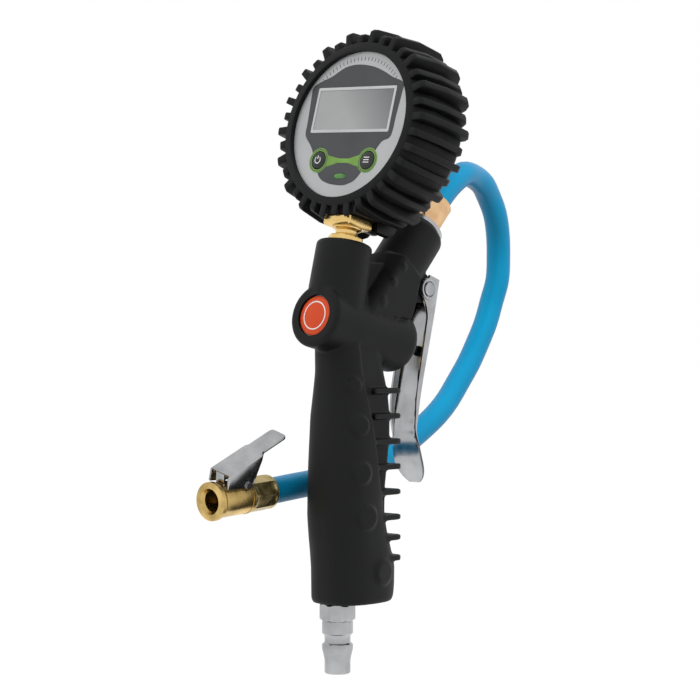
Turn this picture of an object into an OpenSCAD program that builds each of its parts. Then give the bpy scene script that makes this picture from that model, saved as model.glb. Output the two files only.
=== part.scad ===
// Tyre inflator with a digital gauge: a pistol-grip air valve with a squeeze lever,
// a gauge on its neck, and a short hose with a clip-on valve chuck.
// Millimetres. Origin at the tip of the air inlet plug, +Z up the handle,
// -Y towards the user, who reads the gauge, +Y towards the lever and the hose.

/* [Handle and valve chamber] */
// Height of the valve chamber's axis above the plug tip
chamber_h = 134; // [132:1:142]
// Distance of the chamber's centre in front of the handle's axis
head_shift = 2.5; // [1.5:0.5:3.5]
// Lean of the head back over the handle, degrees
lean = 12.5; // [10:0.5:14]
// Radius of the cast handle
handle_r = 6.6; // [6.2:0.1:6.8]
// Radius of the air passage in the handle
air_r = 3.5; // [2.5:0.1:4]
// Outer radius of the cast valve chamber
chamber_r = 10.3; // [9.8:0.1:10.5]
// Reach of the chamber from the neck axis to its front face
chamber_front = 9.4; // [9:0.2:10]
// Reach of the chamber from the neck axis to its rear face
chamber_rear = 36; // [34:0.5:36.5]
// Height of the cast neck above the chamber axis
neck_h = 30.2; // [28:0.2:31]
// Outer radius of the cast neck
neck_r = 8.8; // [8:0.1:9]

/* [Rubber sleeve] */
// Height of the sleeve's lower end above the plug tip
grip_foot = 26.6; // [26:0.2:27]
// Half width of the grip
grip_half_w = 13.3; // [12:0.1:14]
// Half width of the ribbed strip under the fingers
strip_half_w = 10.4; // [9.6:0.2:11]
// Wall of rubber round the chamber, the neck and the outlet
sleeve_wall = 1.85; // [1.2:0.05:2.2]
// Number of finger ribs
rib_count = 8; // [6:1:8]
// Thickness of a finger rib
rib_t = 2; // [1.4:0.1:2.6]
// Reach of the finger ribs from the handle's axis
rib_reach = 25.8; // [25:0.2:27]

/* [Inlet plug] */
// Radius of the plug's nose
plug_nose_r = 5; // [4.6:0.1:5.4]
// Radius of the plug's two collars
plug_collar_r = 6; // [5.6:0.1:6.4]
// Width across flats of the plug's hexagon
plug_af = 12; // [11.5:0.5:13]
// Radius of the bore through the plug
plug_bore_r = 2.6; // [2:0.1:3]

/* [Valve parts] */
// Radius of the valve rod
rod_r = 2.2; // [1.8:0.1:2.4]
// Outer radius of the valve seat
seat_r = 6.15; // [5.8:0.05:6.3]
// Radius of the hole in the valve seat
seat_hole_r = 3.1; // [2.8:0.1:3.4]
// Wire thickness of the valve spring
spring_wire = 0.8; // [0.6:0.1:1]

/* [Outlet] */
// Angle between the outlet tube and the neck, degrees
outlet_angle = 30; // [29:0.5:31]
// Length of the cast outlet tube from the chamber axis
outlet_len = 51; // [49:0.5:53]
// Length of the hose ferrules
ferrule_len = 13; // [11:0.5:14]

/* [Gauge] */
// Height of the gauge centre above the chamber axis
gauge_h = 76.2; // [75:0.2:78]
// Radius of the gauge case
case_r = 30.6; // [29.8:0.1:31.4]
// Depth of the gauge case
case_depth = 24.5; // [24:0.5:26]
// Width of the case's rim round the printed face
face_rim = 1.3; // [1.2:0.1:2]
// Thickness of the rubber boot round the case
boot_wall = 4.4; // [3.6:0.2:5.2]
// Reach of the boot's ribs beyond its body
boot_rib_h = 5.4; // [4.4:0.2:6.2]
// Number of ribs round the boot
boot_ribs = 36; // [24:2:40]
// Thickness of a boot rib
boot_rib_t = 2.9; // [2:0.1:3.2]
// Turn of the gauge's face about its own axis, degrees
face_turn = -4; // [-6:0.5:0]
// Width of the display window
window_w = 40; // [36:0.5:41]
// Height of the display window
window_h = 17.6; // [15:0.2:18]
// Radius of the two push buttons
button_r = 3.6; // [3:0.1:3.8]
// Travel of the two push buttons
button_travel = 0.4; // [0.3:0.05:0.5]
// Width across the square of the brass gauge stem
stem_square = 14; // [13:0.5:15]

/* [Lever] */
// Distance of the lever's pivot behind the neck axis
pivot_y = 43.75; // [43:0.25:44.5]
// Height of the lever's pivot above the chamber axis
pivot_z = 23.4; // [22:0.2:24]
// Half width inside the lever's channel
lever_in = 6.4; // [6.3:0.1:6.8]
// Thickness of the lever's sheet steel
lever_t = 1; // [0.8:0.1:1.2]
// Radius of the lever's pivot pin
pivot_r = 1.6; // [1.3:0.1:1.8]

/* [Hose and chuck] */
// Outer diameter of the hose
hose_d = 10.5; // [9.5:0.5:10.5]
// Bore of the hose
hose_bore = 6.6; // [6:0.1:7]
// Length of the chuck body
chuck_len = 17; // [16.6:0.2:19]
// Radius of the chuck body
chuck_r = 6.75; // [6.5:0.05:7]
// Radius of the chuck's valve bore
chuck_bore_r = 4; // [3.95:0.05:4.1]
// Roll of the chuck about its own axis, degrees
chuck_roll = 18; // [0:1:30]
// Width of the chuck's thumb lever
thumb_w = 10.6; // [10:0.2:11.4]

/* [Hidden] */
$fn = 64;

// running clearance of a shaft in its hole, and the gap left between plain neighbours
fit = 0.05;
gap = 0.3;

// threads and seats, shared by the two pieces that meet in each
inlet_thread_r = 4.85;
inlet_washer_t = 1;
inlet_washer_r = inlet_thread_r + 1.1;
plug_hex_z = 20.2;
plug_hex_h = grip_foot - 0.1 - plug_hex_z;
body_foot = plug_hex_z + plug_hex_h + inlet_washer_t;
inlet_thread_len = 10;
cap_r = 7.1;
cap_len = 6;
gland_thread_r = 6.15;
gland_in = 22.2;
gland_head_r = 7.4;
gland_head_t = 2.2;
seat_y = 9;
seat_t = 4;
poppet_t = 2.5;
poppet_seal_t = 1;
gallery_r = 4.5;
outlet_thread_r = 6.1;
outlet_thread_len = 10;
stem_thread_r = 4.85;
stem_thread_len = 9;
stem_washer_t = 0.5;
stem_flange_r = 6.15;
stem_flange_t = 2.4;
stem_square_h = 4.1;
stem_waist_r = 5.75;
stem_waist_h = 3.6;
port_thread_len = 7;

// the handle's casting: a round boss for the plug, and an oval core above it
boss_top = body_foot + 16;
core_front_y = 1.4;
core_rear_y = 9;

// sleeve forms that follow the casting
chamber_sleeve_r = chamber_r + sleeve_wall;
neck_sleeve_r = neck_r + sleeve_wall + 0.1;
outlet_r = neck_r;
outlet_sleeve_r = outlet_r + sleeve_wall + 0.1;
sleeve_front = chamber_front + 1.6;
sleeve_rear = chamber_rear + 2.5;
sleeve_neck_top = neck_h + stem_washer_t;
outlet_sleeve_len = outlet_len + 3;
badge_r = 7.6;
badge_t = 0.5;
lug_half = lever_in - 1.6;
lug_r = 4.2;
lug_rubber = 1.2;

// flat-sided housing round the outlet's root, which reaches this far along the outlet
housing_half_w = 11.4;
housing_front = 10.4;
housing_len = 32;
web_half = 3;

// outlet axis: where it crosses the chamber axis
outlet_root_y = 14.6;
gallery_z = 15;

// gauge: the face lies this far in front of the stem's axis
label_fwd = 7;
case_wall = 2;
label_r = case_r - face_rim;
boot_r = case_r + boot_wall;
boot_front_r = boot_r - 2.5;
boot_rib_r = boot_r + boot_rib_h;
face_plate_t = 1.6;
label_t = 0.4;
case_front = -label_t - 0.1;
plate_back = -label_t - face_plate_t;
sensor_r = 4;
boss_half_w = 9;
boss_back = -label_fwd - 7.5;
boss_bottom = gauge_h - neck_h - stem_washer_t - stem_flange_t - stem_waist_h - stem_square_h - 0.1;
sensor_low = port_thread_len + 0.5 - boss_bottom;
sensor_h = 6.9;
sensor_nose_h = 1.8;
board_r = case_r - 4.6;
board_z = -8.4;
board_t = 1.6;
lcd_y = 6;
button_x = 12.8;
button_y = -14.3;
button_flange = 0.7;
switch_w = 5.2;
lens_w = 6.2;
lens_h = 2.2;
lens_y = -20.6;
screw_circle = case_r - 2.8;
screw_places = [for (a = [54, 126, 225, 315]) screw_circle * [cos(a), sin(a)]];
screw_r = 1.2;
post_r = 3.2;
battery_d = 10.5;
battery_l = 44.5;
battery_y = 5.8;
battery_z = -16.2;
contact_w = 8;
contact_t = 0.5;
door_w = 48;
door_h = 25;
door_t = 1.8;

// the lever's back line: distance behind the neck axis against height
lever_back = [[51, 27], [50.9, 16], [50.5, 4], [50, -6], [49.7, -16], [49.8, -23],
    [50.3, -30], [51.5, -35], [53.2, -39.5], [55.6, -44], [58.3, -47.6], [61.3, -51.2]];
// how far the lever's side flanges stand forward of its back, against height
lever_depth = [[7.4, 17], [4.6, 12], [4.2, 3], [3.6, -8], [3.4, -16], [3, -22],
    [2, -28], [1.1, -33]];

// ferrules
hose_r = hose_d / 2;
ferrule_r = hose_r + 1.4;
ferrule_wall = 0.9;
barb_r = hose_bore / 2;
outlet_hex_t = 4.6;
outlet_collar_t = 1.6;
outlet_ferrule_at = outlet_len + outlet_hex_t + outlet_collar_t;
hose_start = outlet_ferrule_at + ferrule_len;

// chuck: centre of its mouth, and how far it dips towards the mouth
chuck_mouth = [-24, -44.4, 66.6];
chuck_dip = 4;
chuck_ring_r = 7.4;
chuck_flange_t = 0.9;
chuck_ferrule_at = chuck_len + chuck_flange_t;
thumb_pin = [14, 6.6];
thumb_pin_r = 1;
thumb_t = 0.8;
thumb_lug_top = thumb_pin[1] + 2;
tooth_w = 4.4;
chuck_seal_at = 9.7;
chuck_seal_t = 2.3;
core_ring_at = chuck_seal_at + chuck_seal_t + 0.1;
core_ring_t = 1.8;
tail_at = core_ring_at + core_ring_t + 0.1;

// hose route between its two ferrules: centre points chosen by hand, gauge end first
route = [[-0.2, 65.8, 188.9], [-0.7, 71.5, 192.7], [-2, 79, 196], [-5, 89, 196], [-7, 98, 193.5],
    [-10, 106, 189], [-12, 113, 182], [-15, 119, 173.5], [-17, 122, 164], [-18, 122.5, 154],
    [-20, 121, 144.5], [-21, 118, 135], [-22, 113.5, 126], [-22.5, 108, 117.5], [-23, 101.5, 109.5],
    [-23, 94.5, 102], [-23, 87, 96], [-23.5, 78.5, 90.5], [-24, 69.5, 85.5], [-24, 60.5, 81.5],
    [-24, 51, 78], [-24, 41, 75], [-24, 31, 73], [-24, 21, 71.7], [-24, 11, 70.8],
    [-24, 1, 70]];

// ---------------------------------------------------------------- frames

// head frame: Y back along the chamber, Z up the neck, origin where they cross
module head() translate([0, -head_shift, chamber_h]) rotate([-lean, 0, 0]) children();
// local Z back along the chamber
module chamber() head() rotate([-90, 0, 0]) children();
// local Z out along the outlet tube
module outlet() head() translate([0, outlet_root_y, 0]) rotate([-outlet_angle, 0, 0]) children();
// local Z out of the gauge's face, Y up, origin at the face's centre
module gauge() head() translate([0, -label_fwd, gauge_h]) rotate([90, 0, 0]) children();
// the same, turned with the printed face
module face() gauge() rotate([0, 0, face_turn]) children();
// local Z into the chuck from its mouth, Y out towards the thumb lever
module chuck() translate(chuck_mouth) rotate([-90 + chuck_dip, 0, 0])
    rotate([0, 0, 180 + chuck_roll]) children();

// ---------------------------------------------------------------- shared shapes

module rod(r, a, b) translate([0, 0, a]) cylinder(r = r, h = b - a);

module ring(ro, ri, a, b) difference() {
    rod(ro, a, b);
    rod(ri, a - 1, b + 1);
}

// cylinder from a to b with rounded rims, ra at the start and rb at the end
module rounded_rod(r, a, b, ra, rb) rotate_extrude() polygon(concat(
    [[0, a]],
    [for (i = [0:4]) [r - ra + ra * sin(i * 22.5), a + ra - ra * cos(i * 22.5)]],
    [for (i = [0:4]) [r - rb + rb * cos(i * 22.5), b - rb + rb * sin(i * 22.5)]],
    [[0, b]]));

// plate whose outline is drawn in Y and Z, from x = a to x = b
module side_plate(a, b, outline) translate([a, 0, 0]) rotate([90, 0, 90])
    linear_extrude(b - a) polygon(outline);

function unit(v) = v / norm(v);
function lerp(a, b, t) = a + (b - a) * t;
// value at z in a list of [z, value], falling or rising in z
function look(list, z, i = 0) = i >= len(list) - 2 || z < list[i + 1][0]
    ? lerp(list[i][1], list[i + 1][1], min(1, max(0, (z - list[i][0]) / (list[i + 1][0] - list[i][0]))))
    : look(list, z, i + 1);

// closed tube swept along points; ref is any direction the path never takes
module sweep(path, r, sides, ref) {
    last = len(path) - 1;
    dirs = [for (i = [0:last]) unit(path[min(last, i + 1)] - path[max(0, i - 1)])];
    rings = [for (i = [0:last]) let (u = unit(cross(dirs[i], ref)), v = cross(dirs[i], u))
        for (k = [0:sides - 1]) path[i] + r * (u * cos(360 * k / sides) + v * sin(360 * k / sides))];
    walls = [for (i = [0:last - 1], k = [0:sides - 1]) let (n = (k + 1) % sides)
        each [[i * sides + k, (i + 1) * sides + n, i * sides + n],
            [i * sides + k, (i + 1) * sides + k, (i + 1) * sides + n]]];
    polyhedron(rings, concat(
        [[for (k = [0:sides - 1]) k]], walls, [[for (k = [sides - 1:-1:0]) last * sides + k]]));
}

// helical spring along local Z, from a to b
module spring(r, wire, a, b, turns) {
    steps = turns * 10;
    sweep([for (i = [0:steps])
        [r * cos(36 * i), r * sin(36 * i), lerp(a + wire / 2, b - wire / 2, i / steps)]],
        wire / 2, 6, [0, 0, 1]);
}

// ---------------------------------------------------------------- casting

function outlet_y(z) = outlet_root_y + z * tan(outlet_angle);

// outer form of the casting, grown by g for the hollow in the sleeve
module casting_form(g) {
    rod(handle_r + g, body_foot - g, boss_top);
    for (y = [core_front_y, core_rear_y]) translate([0, y, 0]) rod(handle_r + g, boss_top - 8 - g, chamber_h);
    translate([-handle_r - g + 0.05, core_front_y, boss_top - 8 - g])
        cube([2 * (handle_r + g) - 0.1, core_rear_y - core_front_y, chamber_h - boss_top + 8]);
    chamber() rod(chamber_r + g, -chamber_front - (g > 0 ? 0.1 : 0), chamber_rear + (g > 0 ? 0.1 : 0));
    head() rod(neck_r + g, 0, neck_h + (g > 0 ? 0.1 : 0));
    outlet() rod(outlet_r + g, 0, outlet_len + (g > 0 ? 0.1 : 0));
    // web that ties the neck to the outlet tube
    web(web_half + g, g);
    // lug for the lever's pin
    head() side_plate(-lug_half - g, lug_half + g,
        [[outlet_y(13), 13 - g], [pivot_y, pivot_z - lug_r - g + 0.1], [pivot_y, pivot_z + lug_r + g - 0.1],
            [outlet_y(pivot_z + 5), pivot_z + 7 + g]]);
    head() translate([0, pivot_y, pivot_z]) rotate([0, 90, 0])
        rod(lug_r + g, -lug_half - 1.5 * g, lug_half + 1.5 * g);
}

module web(half, g) head()
    side_plate(-half, half, [[0, 5], [0, 22 + g], [outlet_y(28), 28 + g], [outlet_y(10), 5]]);

module valve_body() color("silver") difference() {
    casting_form(0);
    // inlet: thread for the plug, then the air passage up to the chamber
    rod(inlet_thread_r + fit, body_foot - 1, body_foot + inlet_thread_len + 1);
    rod(air_r, body_foot, chamber_h);
    chamber() {
        rod(cap_r + fit, -chamber_front - 1, -chamber_front + cap_len);
        rod(seat_r + fit, -chamber_front, seat_y + seat_t);
        rod(gallery_r, 0, gland_in + 1);
        rod(gland_thread_r + fit, gland_in, chamber_rear + 1);
    }
    head() {
        rod(stem_thread_r + fit, neck_h - stem_thread_len, neck_h + 1);
        rod(1.75, gallery_z - 2.2, neck_h);
        translate([0, 0, gallery_z]) rotate([-90, 0, 0]) rod(1.5, 0, outlet_y(gallery_z));
        translate([-10, pivot_y, pivot_z]) rotate([0, 90, 0]) rod(pivot_r + fit, 0, 20);
    }
    outlet() {
        rod(3, 0, outlet_len);
        rod(outlet_thread_r + fit, outlet_len - outlet_thread_len - 1, outlet_len + 1);
    }
}

// ---------------------------------------------------------------- rubber sleeve

// grip outline: height, front edge, rear edge
grip_line = [[26, -7.8, 21.6], [40, -8.2, 25], [46, -8.6, 23.6], [52, -9.2, 21.4], [60, -9.8, 19.4],
    [70, -9.6, 19.6], [80, -9.4, 21.2], [90, -8.8, 22.6], [98, -8.2, 22.6], [107, -7.6, 22.2],
    [116, -6.6, 20.4], [122, -6.2, 17.6], [130, -6, 16]];
grip_power = 2.5;
function grip_front(z) = look([for (p = grip_line) [p[0], p[1]]], z);
function grip_rear(z) = look([for (p = grip_line) [p[0], p[2]]], z);
// rounded-off outline near the foot
function foot_scale(z) = z > grip_foot + 3 ? 1 : 1 - 0.06 * pow((grip_foot + 3 - z) / 3, 2);
function grip_mid(z) = (grip_front(z) + grip_rear(z)) / 2;
function grip_deep(z) = (grip_rear(z) - grip_front(z)) / 2;
function signed(v) = pow(abs(v), 2 / grip_power) * sign(v);
function grip_ring(z, sides) = [for (k = [0:sides - 1]) let (s = foot_scale(z), q = 360 * k / sides)
    [s * grip_half_w * signed(cos(q)), grip_mid(z) + s * grip_deep(z) * signed(sin(q)), z]];
// half width of the grip at depth y and height z
function grip_side(y, z) = grip_half_w
    * pow(1 - pow(min(1, abs(y - grip_mid(z)) / grip_deep(z)), grip_power), 1 / grip_power);

module grip_loft() {
    sides = 40;
    heights = concat([grip_foot, grip_foot + 0.5, grip_foot + 1.5, grip_foot + 3], [for (z = [34:5:129]) z]);
    n = len(heights);
    polyhedron([for (z = heights) each grip_ring(z, sides)], concat(
        [[for (k = [0:sides - 1]) k]],
        [for (i = [0:n - 2], k = [0:sides - 1]) let (j = (k + 1) % sides)
            each [[i * sides + k, (i + 1) * sides + j, i * sides + j],
                [i * sides + k, (i + 1) * sides + k, (i + 1) * sides + j]]],
        [[for (k = [sides - 1:-1:0]) (n - 1) * sides + k]]));
}

// the strip under the fingers is stepped in behind this line
crease = [[1.5, 124], [3.7, 108], [5.3, 98], [7.3, 89], [9, 79], [11, 70], [14, 60], [18, 50], [24, 42]];

module finger_rib(z) translate([0, 0, z]) hull() {
    for (s = [-1, 1]) translate([s * (strip_half_w - 5), rib_reach - 4, 0])
        cylinder(r = 4, h = rib_t, center = true, $fn = 28);
    translate([-strip_half_w - 1, min(16, grip_rear(z) - 8), -rib_t / 2])
        cube([2 * strip_half_w + 2, 1, rib_t]);
}

// low round bump standing on a side of the grip or the web
module bump(d, h) rotate_extrude($fn = 16) polygon(concat([[0, -1]], [[d / 2, -1]],
    [for (i = [0:3]) [d / 2 * cos(i * 30), h * sin(i * 30)]]));

module grip_sleeve($fn = 40) color("#1c1d1e") difference() {
    union() {
        difference() {
            grip_loft();
            for (s = [-1, 1]) side_plate(s > 0 ? strip_half_w : -25, s > 0 ? 25 : -strip_half_w,
                concat(crease, [[40, 42], [40, 124]]));
        }
        for (i = [0:rib_count - 1]) finger_rib(107.3 - 9.8 * i + max(0, i - 5) * 1.6);
        // chamber, neck and outlet tube
        chamber() rounded_rod(chamber_sleeve_r, -sleeve_front, sleeve_rear, 1.8, 2.2);
        head() rotate_extrude() polygon([[0, 0], [neck_sleeve_r + 0.7, 0], [neck_sleeve_r + 0.5, 12],
            [neck_sleeve_r, sleeve_neck_top - 1.2], [neck_sleeve_r - 0.4, sleeve_neck_top - 0.4],
            [neck_sleeve_r - 1.2, sleeve_neck_top], [0, sleeve_neck_top]]);
        outlet() rounded_rod(outlet_sleeve_r, 0, outlet_sleeve_len, 1, 2.4);
        // housing and web behind the neck, and the rubber round the lever's lug
        outlet() side_plate(-housing_half_w, housing_half_w, [[-housing_front, 2],
            [-housing_front, housing_len], [4.4, housing_len - 0.6], [9, housing_len - 10.5],
            [11.1, housing_len / 2]]);
        web(web_half + sleeve_wall, sleeve_wall);
        head() hull() {
            translate([-lug_half - lug_rubber, pivot_y, pivot_z]) rotate([0, 90, 0])
                rod(lug_r + lug_rubber, 0, 2 * (lug_half + lug_rubber), $fn = 32);
            translate([-lug_half - lug_rubber, outlet_y(16), 14]) cube([2 * (lug_half + lug_rubber), 2, 20]);
        }
        side_bumps();
    }
    casting_form(fit);
    // mouths: badge, gland and lever rod, neck top, outlet, plug
    chamber() {
        rod(badge_r + 0.3, -sleeve_front - 1, -chamber_front + 1);
        rod(gland_head_r + 0.6, chamber_rear - 1, sleeve_rear + 1);
    }
    head() rod(stem_flange_r + gap, neck_h - 1, neck_h + 5);
    outlet() rod(outlet_thread_r + 1.9, outlet_len - 1, outlet_sleeve_len + 1);
    rod(inlet_washer_r + 0.25, grip_foot - 1, body_foot);
    head() translate([-10, pivot_y, pivot_z]) rotate([0, 90, 0]) rod(pivot_r + 0.1, 0, 20);
}

// five bumps down each side of the grip and three up each side of the housing
module side_bumps() {
    grip = [[-5.4, 109.7, 6.4], [-2.5, 94.6, 8], [-1.7, 76.7, 8.9], [2.3, 59.9, 10.2], [10.8, 39, 10.6]];
    web = [[22.8, 27, 2.7], [18.4, 20, 3.1], [14, 11.2, 3.4]];
    for (s = [-1, 1]) {
        for (b = grip) translate([s * (grip_side(b[0], b[1]) - 0.2), b[0], b[1]])
            rotate([0, s * 90, 0]) bump(b[2], 0.7);
        for (b = web) head() translate([s * (housing_half_w - 0.1), b[0], b[1]])
            rotate([0, s * 90, 0]) bump(b[2], 0.6);
    }
}

// ---------------------------------------------------------------- inlet

module inlet_plug() color("#d5d8da") difference() {
    union() {
        rotate_extrude() polygon([[0, 0], [plug_nose_r, 0], [plug_nose_r, 5.2],
            [plug_collar_r, 9.6], [plug_collar_r, 11], [plug_collar_r - 1, 11.8], [plug_collar_r - 1, 14],
            [plug_collar_r - 0.4, 14.9], [plug_collar_r, 15.4], [plug_collar_r, plug_hex_z - 0.6],
            [plug_collar_r - 0.5, plug_hex_z], [0, plug_hex_z]]);
        translate([0, 0, plug_hex_z]) rotate([0, 0, 12])
            cylinder(r = plug_af / sqrt(3), h = plug_hex_h, $fn = 6);
        rod(inlet_thread_r, plug_hex_z, body_foot + inlet_thread_len);
    }
    rod(plug_bore_r, -1, body_foot + inlet_thread_len + 1);
}

module inlet_washer() color("#3a3a3a")
    ring(inlet_washer_r, inlet_thread_r + fit, body_foot - inlet_washer_t, body_foot);

module inlet_filter() color("#a9773f") {
    base = body_foot + inlet_thread_len + 1;
    difference() {
        translate([0, 0, base]) cylinder(r1 = air_r - fit, r2 = air_r - 1.2, h = 9);
        translate([0, 0, base - 1]) cylinder(r1 = air_r - 1, r2 = air_r - 2, h = 9);
    }
}

// ---------------------------------------------------------------- valve

module valve_cap() color("#b8bcc0") chamber() difference() {
    union() {
        rod(cap_r, -chamber_front - 0.4, -chamber_front + cap_len - 1.8);
        rod(seat_r - 0.3, -chamber_front + cap_len - 2, -chamber_front + cap_len);
    }
    // pocket that holds the spring's end and clears the spindle's tail
    rod(3.9, -chamber_front + 2, -chamber_front + cap_len + 1);
}

module cap_seal() color("#20242a") chamber()
    ring(cap_r, seat_r - 0.25, -chamber_front + cap_len - 1.75, -chamber_front + cap_len - 0.1);

module badge() color("#e4572a") chamber()
    rounded_rod(badge_r, -chamber_front - 0.4 - badge_t, -chamber_front - 0.4, 0.2, 0.1);

module valve_seat() color("#c9a24c") chamber() ring(seat_r, seat_hole_r, seat_y, seat_y + seat_t - fit);

// one turned piece: tail, poppet, waist through the seat, and the rod to the lever
module valve_spindle() color("#2b2b2d") chamber() {
    poppet_front = seat_y - poppet_seal_t - poppet_t;
    rod(1.8, poppet_front - 3.2, poppet_front + 0.5);
    rod(seat_r - 1, poppet_front, poppet_front + poppet_t);
    rod(rod_r - 0.5, poppet_front + poppet_t, gland_in);
    difference() {
        rod(rod_r, gland_in - 0.5, lever_touch - gap);
        // rounded-off tip, which rolls on the lever
        difference() {
            rod(rod_r + 1, lever_touch - gap - 3.5, lever_touch);
            translate([0, 0, lever_touch - gap - 3.5]) sphere(r = 3.5);
        }
    }
}

module poppet_seal() color("#17181a") chamber()
    ring(seat_hole_r + 1.3, rod_r - 0.5 + fit, seat_y - poppet_seal_t, seat_y - 0.02);

spring_seat = -chamber_front + 2;
module valve_spring() color("#9aa0a6") chamber()
    spring(3.2, spring_wire, spring_seat + 0.02, seat_y - poppet_seal_t - poppet_t - 0.02, 6);

module spindle_gland() color("#c9a24c") chamber() difference() {
    union() {
        rod(gland_thread_r, gland_in, chamber_rear);
        rod(gland_head_r, chamber_rear, chamber_rear + gland_head_t);
    }
    rod(rod_r + fit, gland_in - 1, chamber_rear + gland_head_t + 1);
    for (y = gland_grooves) rod(rod_r + 1.9, y, y + 2.2);
    // two spanner slots across the head
    for (s = [-1, 1]) translate([s * 5.2 - 0.75, -1.5, chamber_rear + 1]) cube([1.5, 3, 2]);
}
gland_grooves = [gland_in + 3, gland_in + 8];

module gland_seals() color("#17181a") chamber()
    for (y = gland_grooves) ring(rod_r + 1.85, rod_r + fit, y + 0.1, y + 2.1);

// ---------------------------------------------------------------- outlet

// ferrule pressed round the hose's end in eight flats, local Z from a
module crimped_ferrule(a) difference() {
    union() {
        rod(ferrule_r, a, a + 2);
        translate([0, 0, a + 1.5]) rotate([0, 0, 22.5])
            cylinder(r = ferrule_r - 0.12, h = ferrule_len - 3, $fn = 8);
        rod(ferrule_r, a + ferrule_len - 2, a + ferrule_len);
    }
    rod(hose_r + fit, a + ferrule_wall, a + ferrule_len + 1);
    rod(barb_r + fit, a - 1, a + 1);
}

// hose barb with three teeth, local Z from a
module barb(a, len) rotate_extrude() polygon(concat([[0, a]], [[barb_r - 0.4, a]],
    [for (i = [0:2]) each [[barb_r - 0.4, a + 1 + i * len / 3], [barb_r - 0.02, a + 1.2 + i * len / 3],
        [barb_r - 0.4, a + (i + 1) * len / 3 - 0.1]]], [[0, a + len - 0.1]]));

module outlet_fitting() color("#d5d8da") outlet() difference() {
    union() {
        rod(outlet_thread_r, outlet_len - outlet_thread_len, outlet_len);
        rod(outlet_thread_r + 1.3, outlet_len, outlet_len + outlet_hex_t - 1);
        translate([0, 0, outlet_len + outlet_hex_t - 1]) cylinder(r1 = outlet_thread_r + 1.3, r2 = 5, h = 1);
        rod(4.6, outlet_len + outlet_hex_t, outlet_ferrule_at);
        barb(outlet_ferrule_at - 0.2, ferrule_len - 1);
    }
    rod(1.9, outlet_len - outlet_thread_len - 1, outlet_ferrule_at + ferrule_len);
}

module outlet_ferrule() color("#c2a55a") outlet() crimped_ferrule(outlet_ferrule_at);

// ---------------------------------------------------------------- gauge

module gauge_stem() color("#c79a45") head() {
    base = neck_h + stem_washer_t;
    square_at = base + stem_flange_t + stem_waist_h;
    difference() {
        union() {
            rod(stem_thread_r, neck_h - stem_thread_len + 1, base);
            rod(stem_flange_r, base, base + stem_flange_t);
            rod(stem_waist_r, base + stem_flange_t, square_at);
            translate([-stem_square / 2, -stem_square / 2, square_at])
                cube([stem_square, stem_square, stem_square_h]);
            rod(stem_thread_r, square_at, square_at + stem_square_h + port_thread_len);
        }
        rod(1.6, neck_h - stem_thread_len, square_at + stem_square_h + 10);
    }
}

module stem_washer() color("#b06a3c") head()
    ring(stem_flange_r - 0.1, stem_thread_r + fit, neck_h, neck_h + stem_washer_t);

// tub with a port boss below and a bay for the batteries, open at the face
module gauge_case() color("#2a2b2c") gauge() difference() {
    union() {
        rod(case_r, -case_depth, case_front);
        translate([-boss_half_w, -boss_bottom, boss_back])
            cube([2 * boss_half_w, boss_bottom - 20, case_front - boss_back]);
    }
    difference() {
        union() {
            rod(case_r - case_wall, -case_depth + case_wall, plate_back - 0.1);
            rod(case_r - 0.6, plate_back - 0.1, 1);
        }
        // screw posts and the port block stay
        for (p = screw_places) translate([p[0], p[1], 0]) rod(post_r, -case_depth, plate_back - 0.1);
        translate([-7.5, -boss_bottom, boss_back])
            cube([15, boss_bottom + sensor_low + 4.3, plate_back - 0.1 - boss_back]);
    }
    for (p = screw_places) translate([p[0], p[1], 0]) {
        rod(screw_r + fit, -case_depth - 1, 1);
        rod(2 * screw_r, -case_depth - 1, -case_depth + 2);
    }
    // port for the stem and the sensor above it
    translate([0, 0, -label_fwd]) rotate([-90, 0, 0]) {
        rod(stem_thread_r + fit, -boss_bottom - 1, -boss_bottom + port_thread_len + 0.1);
        rod(1.5, -boss_bottom, sensor_low + 1);
        rod(sensor_r + 0.1, sensor_low - 0.1, sensor_low + sensor_h + 1);
    }
    translate([-door_w / 2, -door_h / 2, -case_depth - 1]) cube([door_w, door_h, case_wall + 2]);
}

// printed front plate under the film
module face_plate() color("#8f9396") face() difference() {
    rod(case_r - 0.7, plate_back, -label_t - 0.02);
    translate([-window_w / 2, lcd_y - window_h / 2, -5]) cube([window_w, window_h, 6]);
    for (s = [-1, 1]) translate([s * button_x, button_y, 0]) rod(button_r + 0.1, -5, 1);
    lens_hole(0.1);
}

module face_label() color("#d8dadb") face() difference() {
    rod(label_r, -label_t, 0);
    translate([-window_w / 2, lcd_y - window_h / 2, -1]) cube([window_w, window_h, 2]);
    for (s = [-1, 1]) translate([s * button_x, button_y, 0]) rod(button_r + 0.15, -1, 1);
    lens_hole(0.1);
}

// hole for the status lens through the plate and the print, wider by c all round
module lens_hole(c) translate([-lens_w / 2 - c, lens_y - lens_h / 2 - c, -5])
    cube([lens_w + 2 * c, lens_h + 2 * c, 6]);

module lcd_window() color("#dfe6e4") face()
    translate([-window_w / 2 + fit, lcd_y - window_h / 2 + fit, plate_back])
        cube([window_w - 2 * fit, window_h - 2 * fit, -plate_back - 0.1]);

module lcd_module() color("#8e958f") face()
    translate([-window_w / 2 - 0.8, lcd_y - window_h / 2 - 1.4, board_z + board_t])
        cube([window_w + 1.6, window_h + 2.8, plate_back - board_z - board_t - 0.02]);

module circuit_board() color("#1f6b3a") face() difference() {
    rod(board_r, board_z, board_z + board_t);
    // room for the screw posts, and a straight lower edge above the sensor
    rotate([0, 0, -face_turn]) {
        for (p = screw_places) translate([p[0], p[1], 0]) rod(post_r + 0.4, board_z - 1, 0);
        translate([-case_r, -case_r - 10, board_z - 1])
            cube([2 * case_r, case_r + 10 + sensor_low + sensor_h + sensor_nose_h + 0.7, 6]);
    }
}

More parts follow.
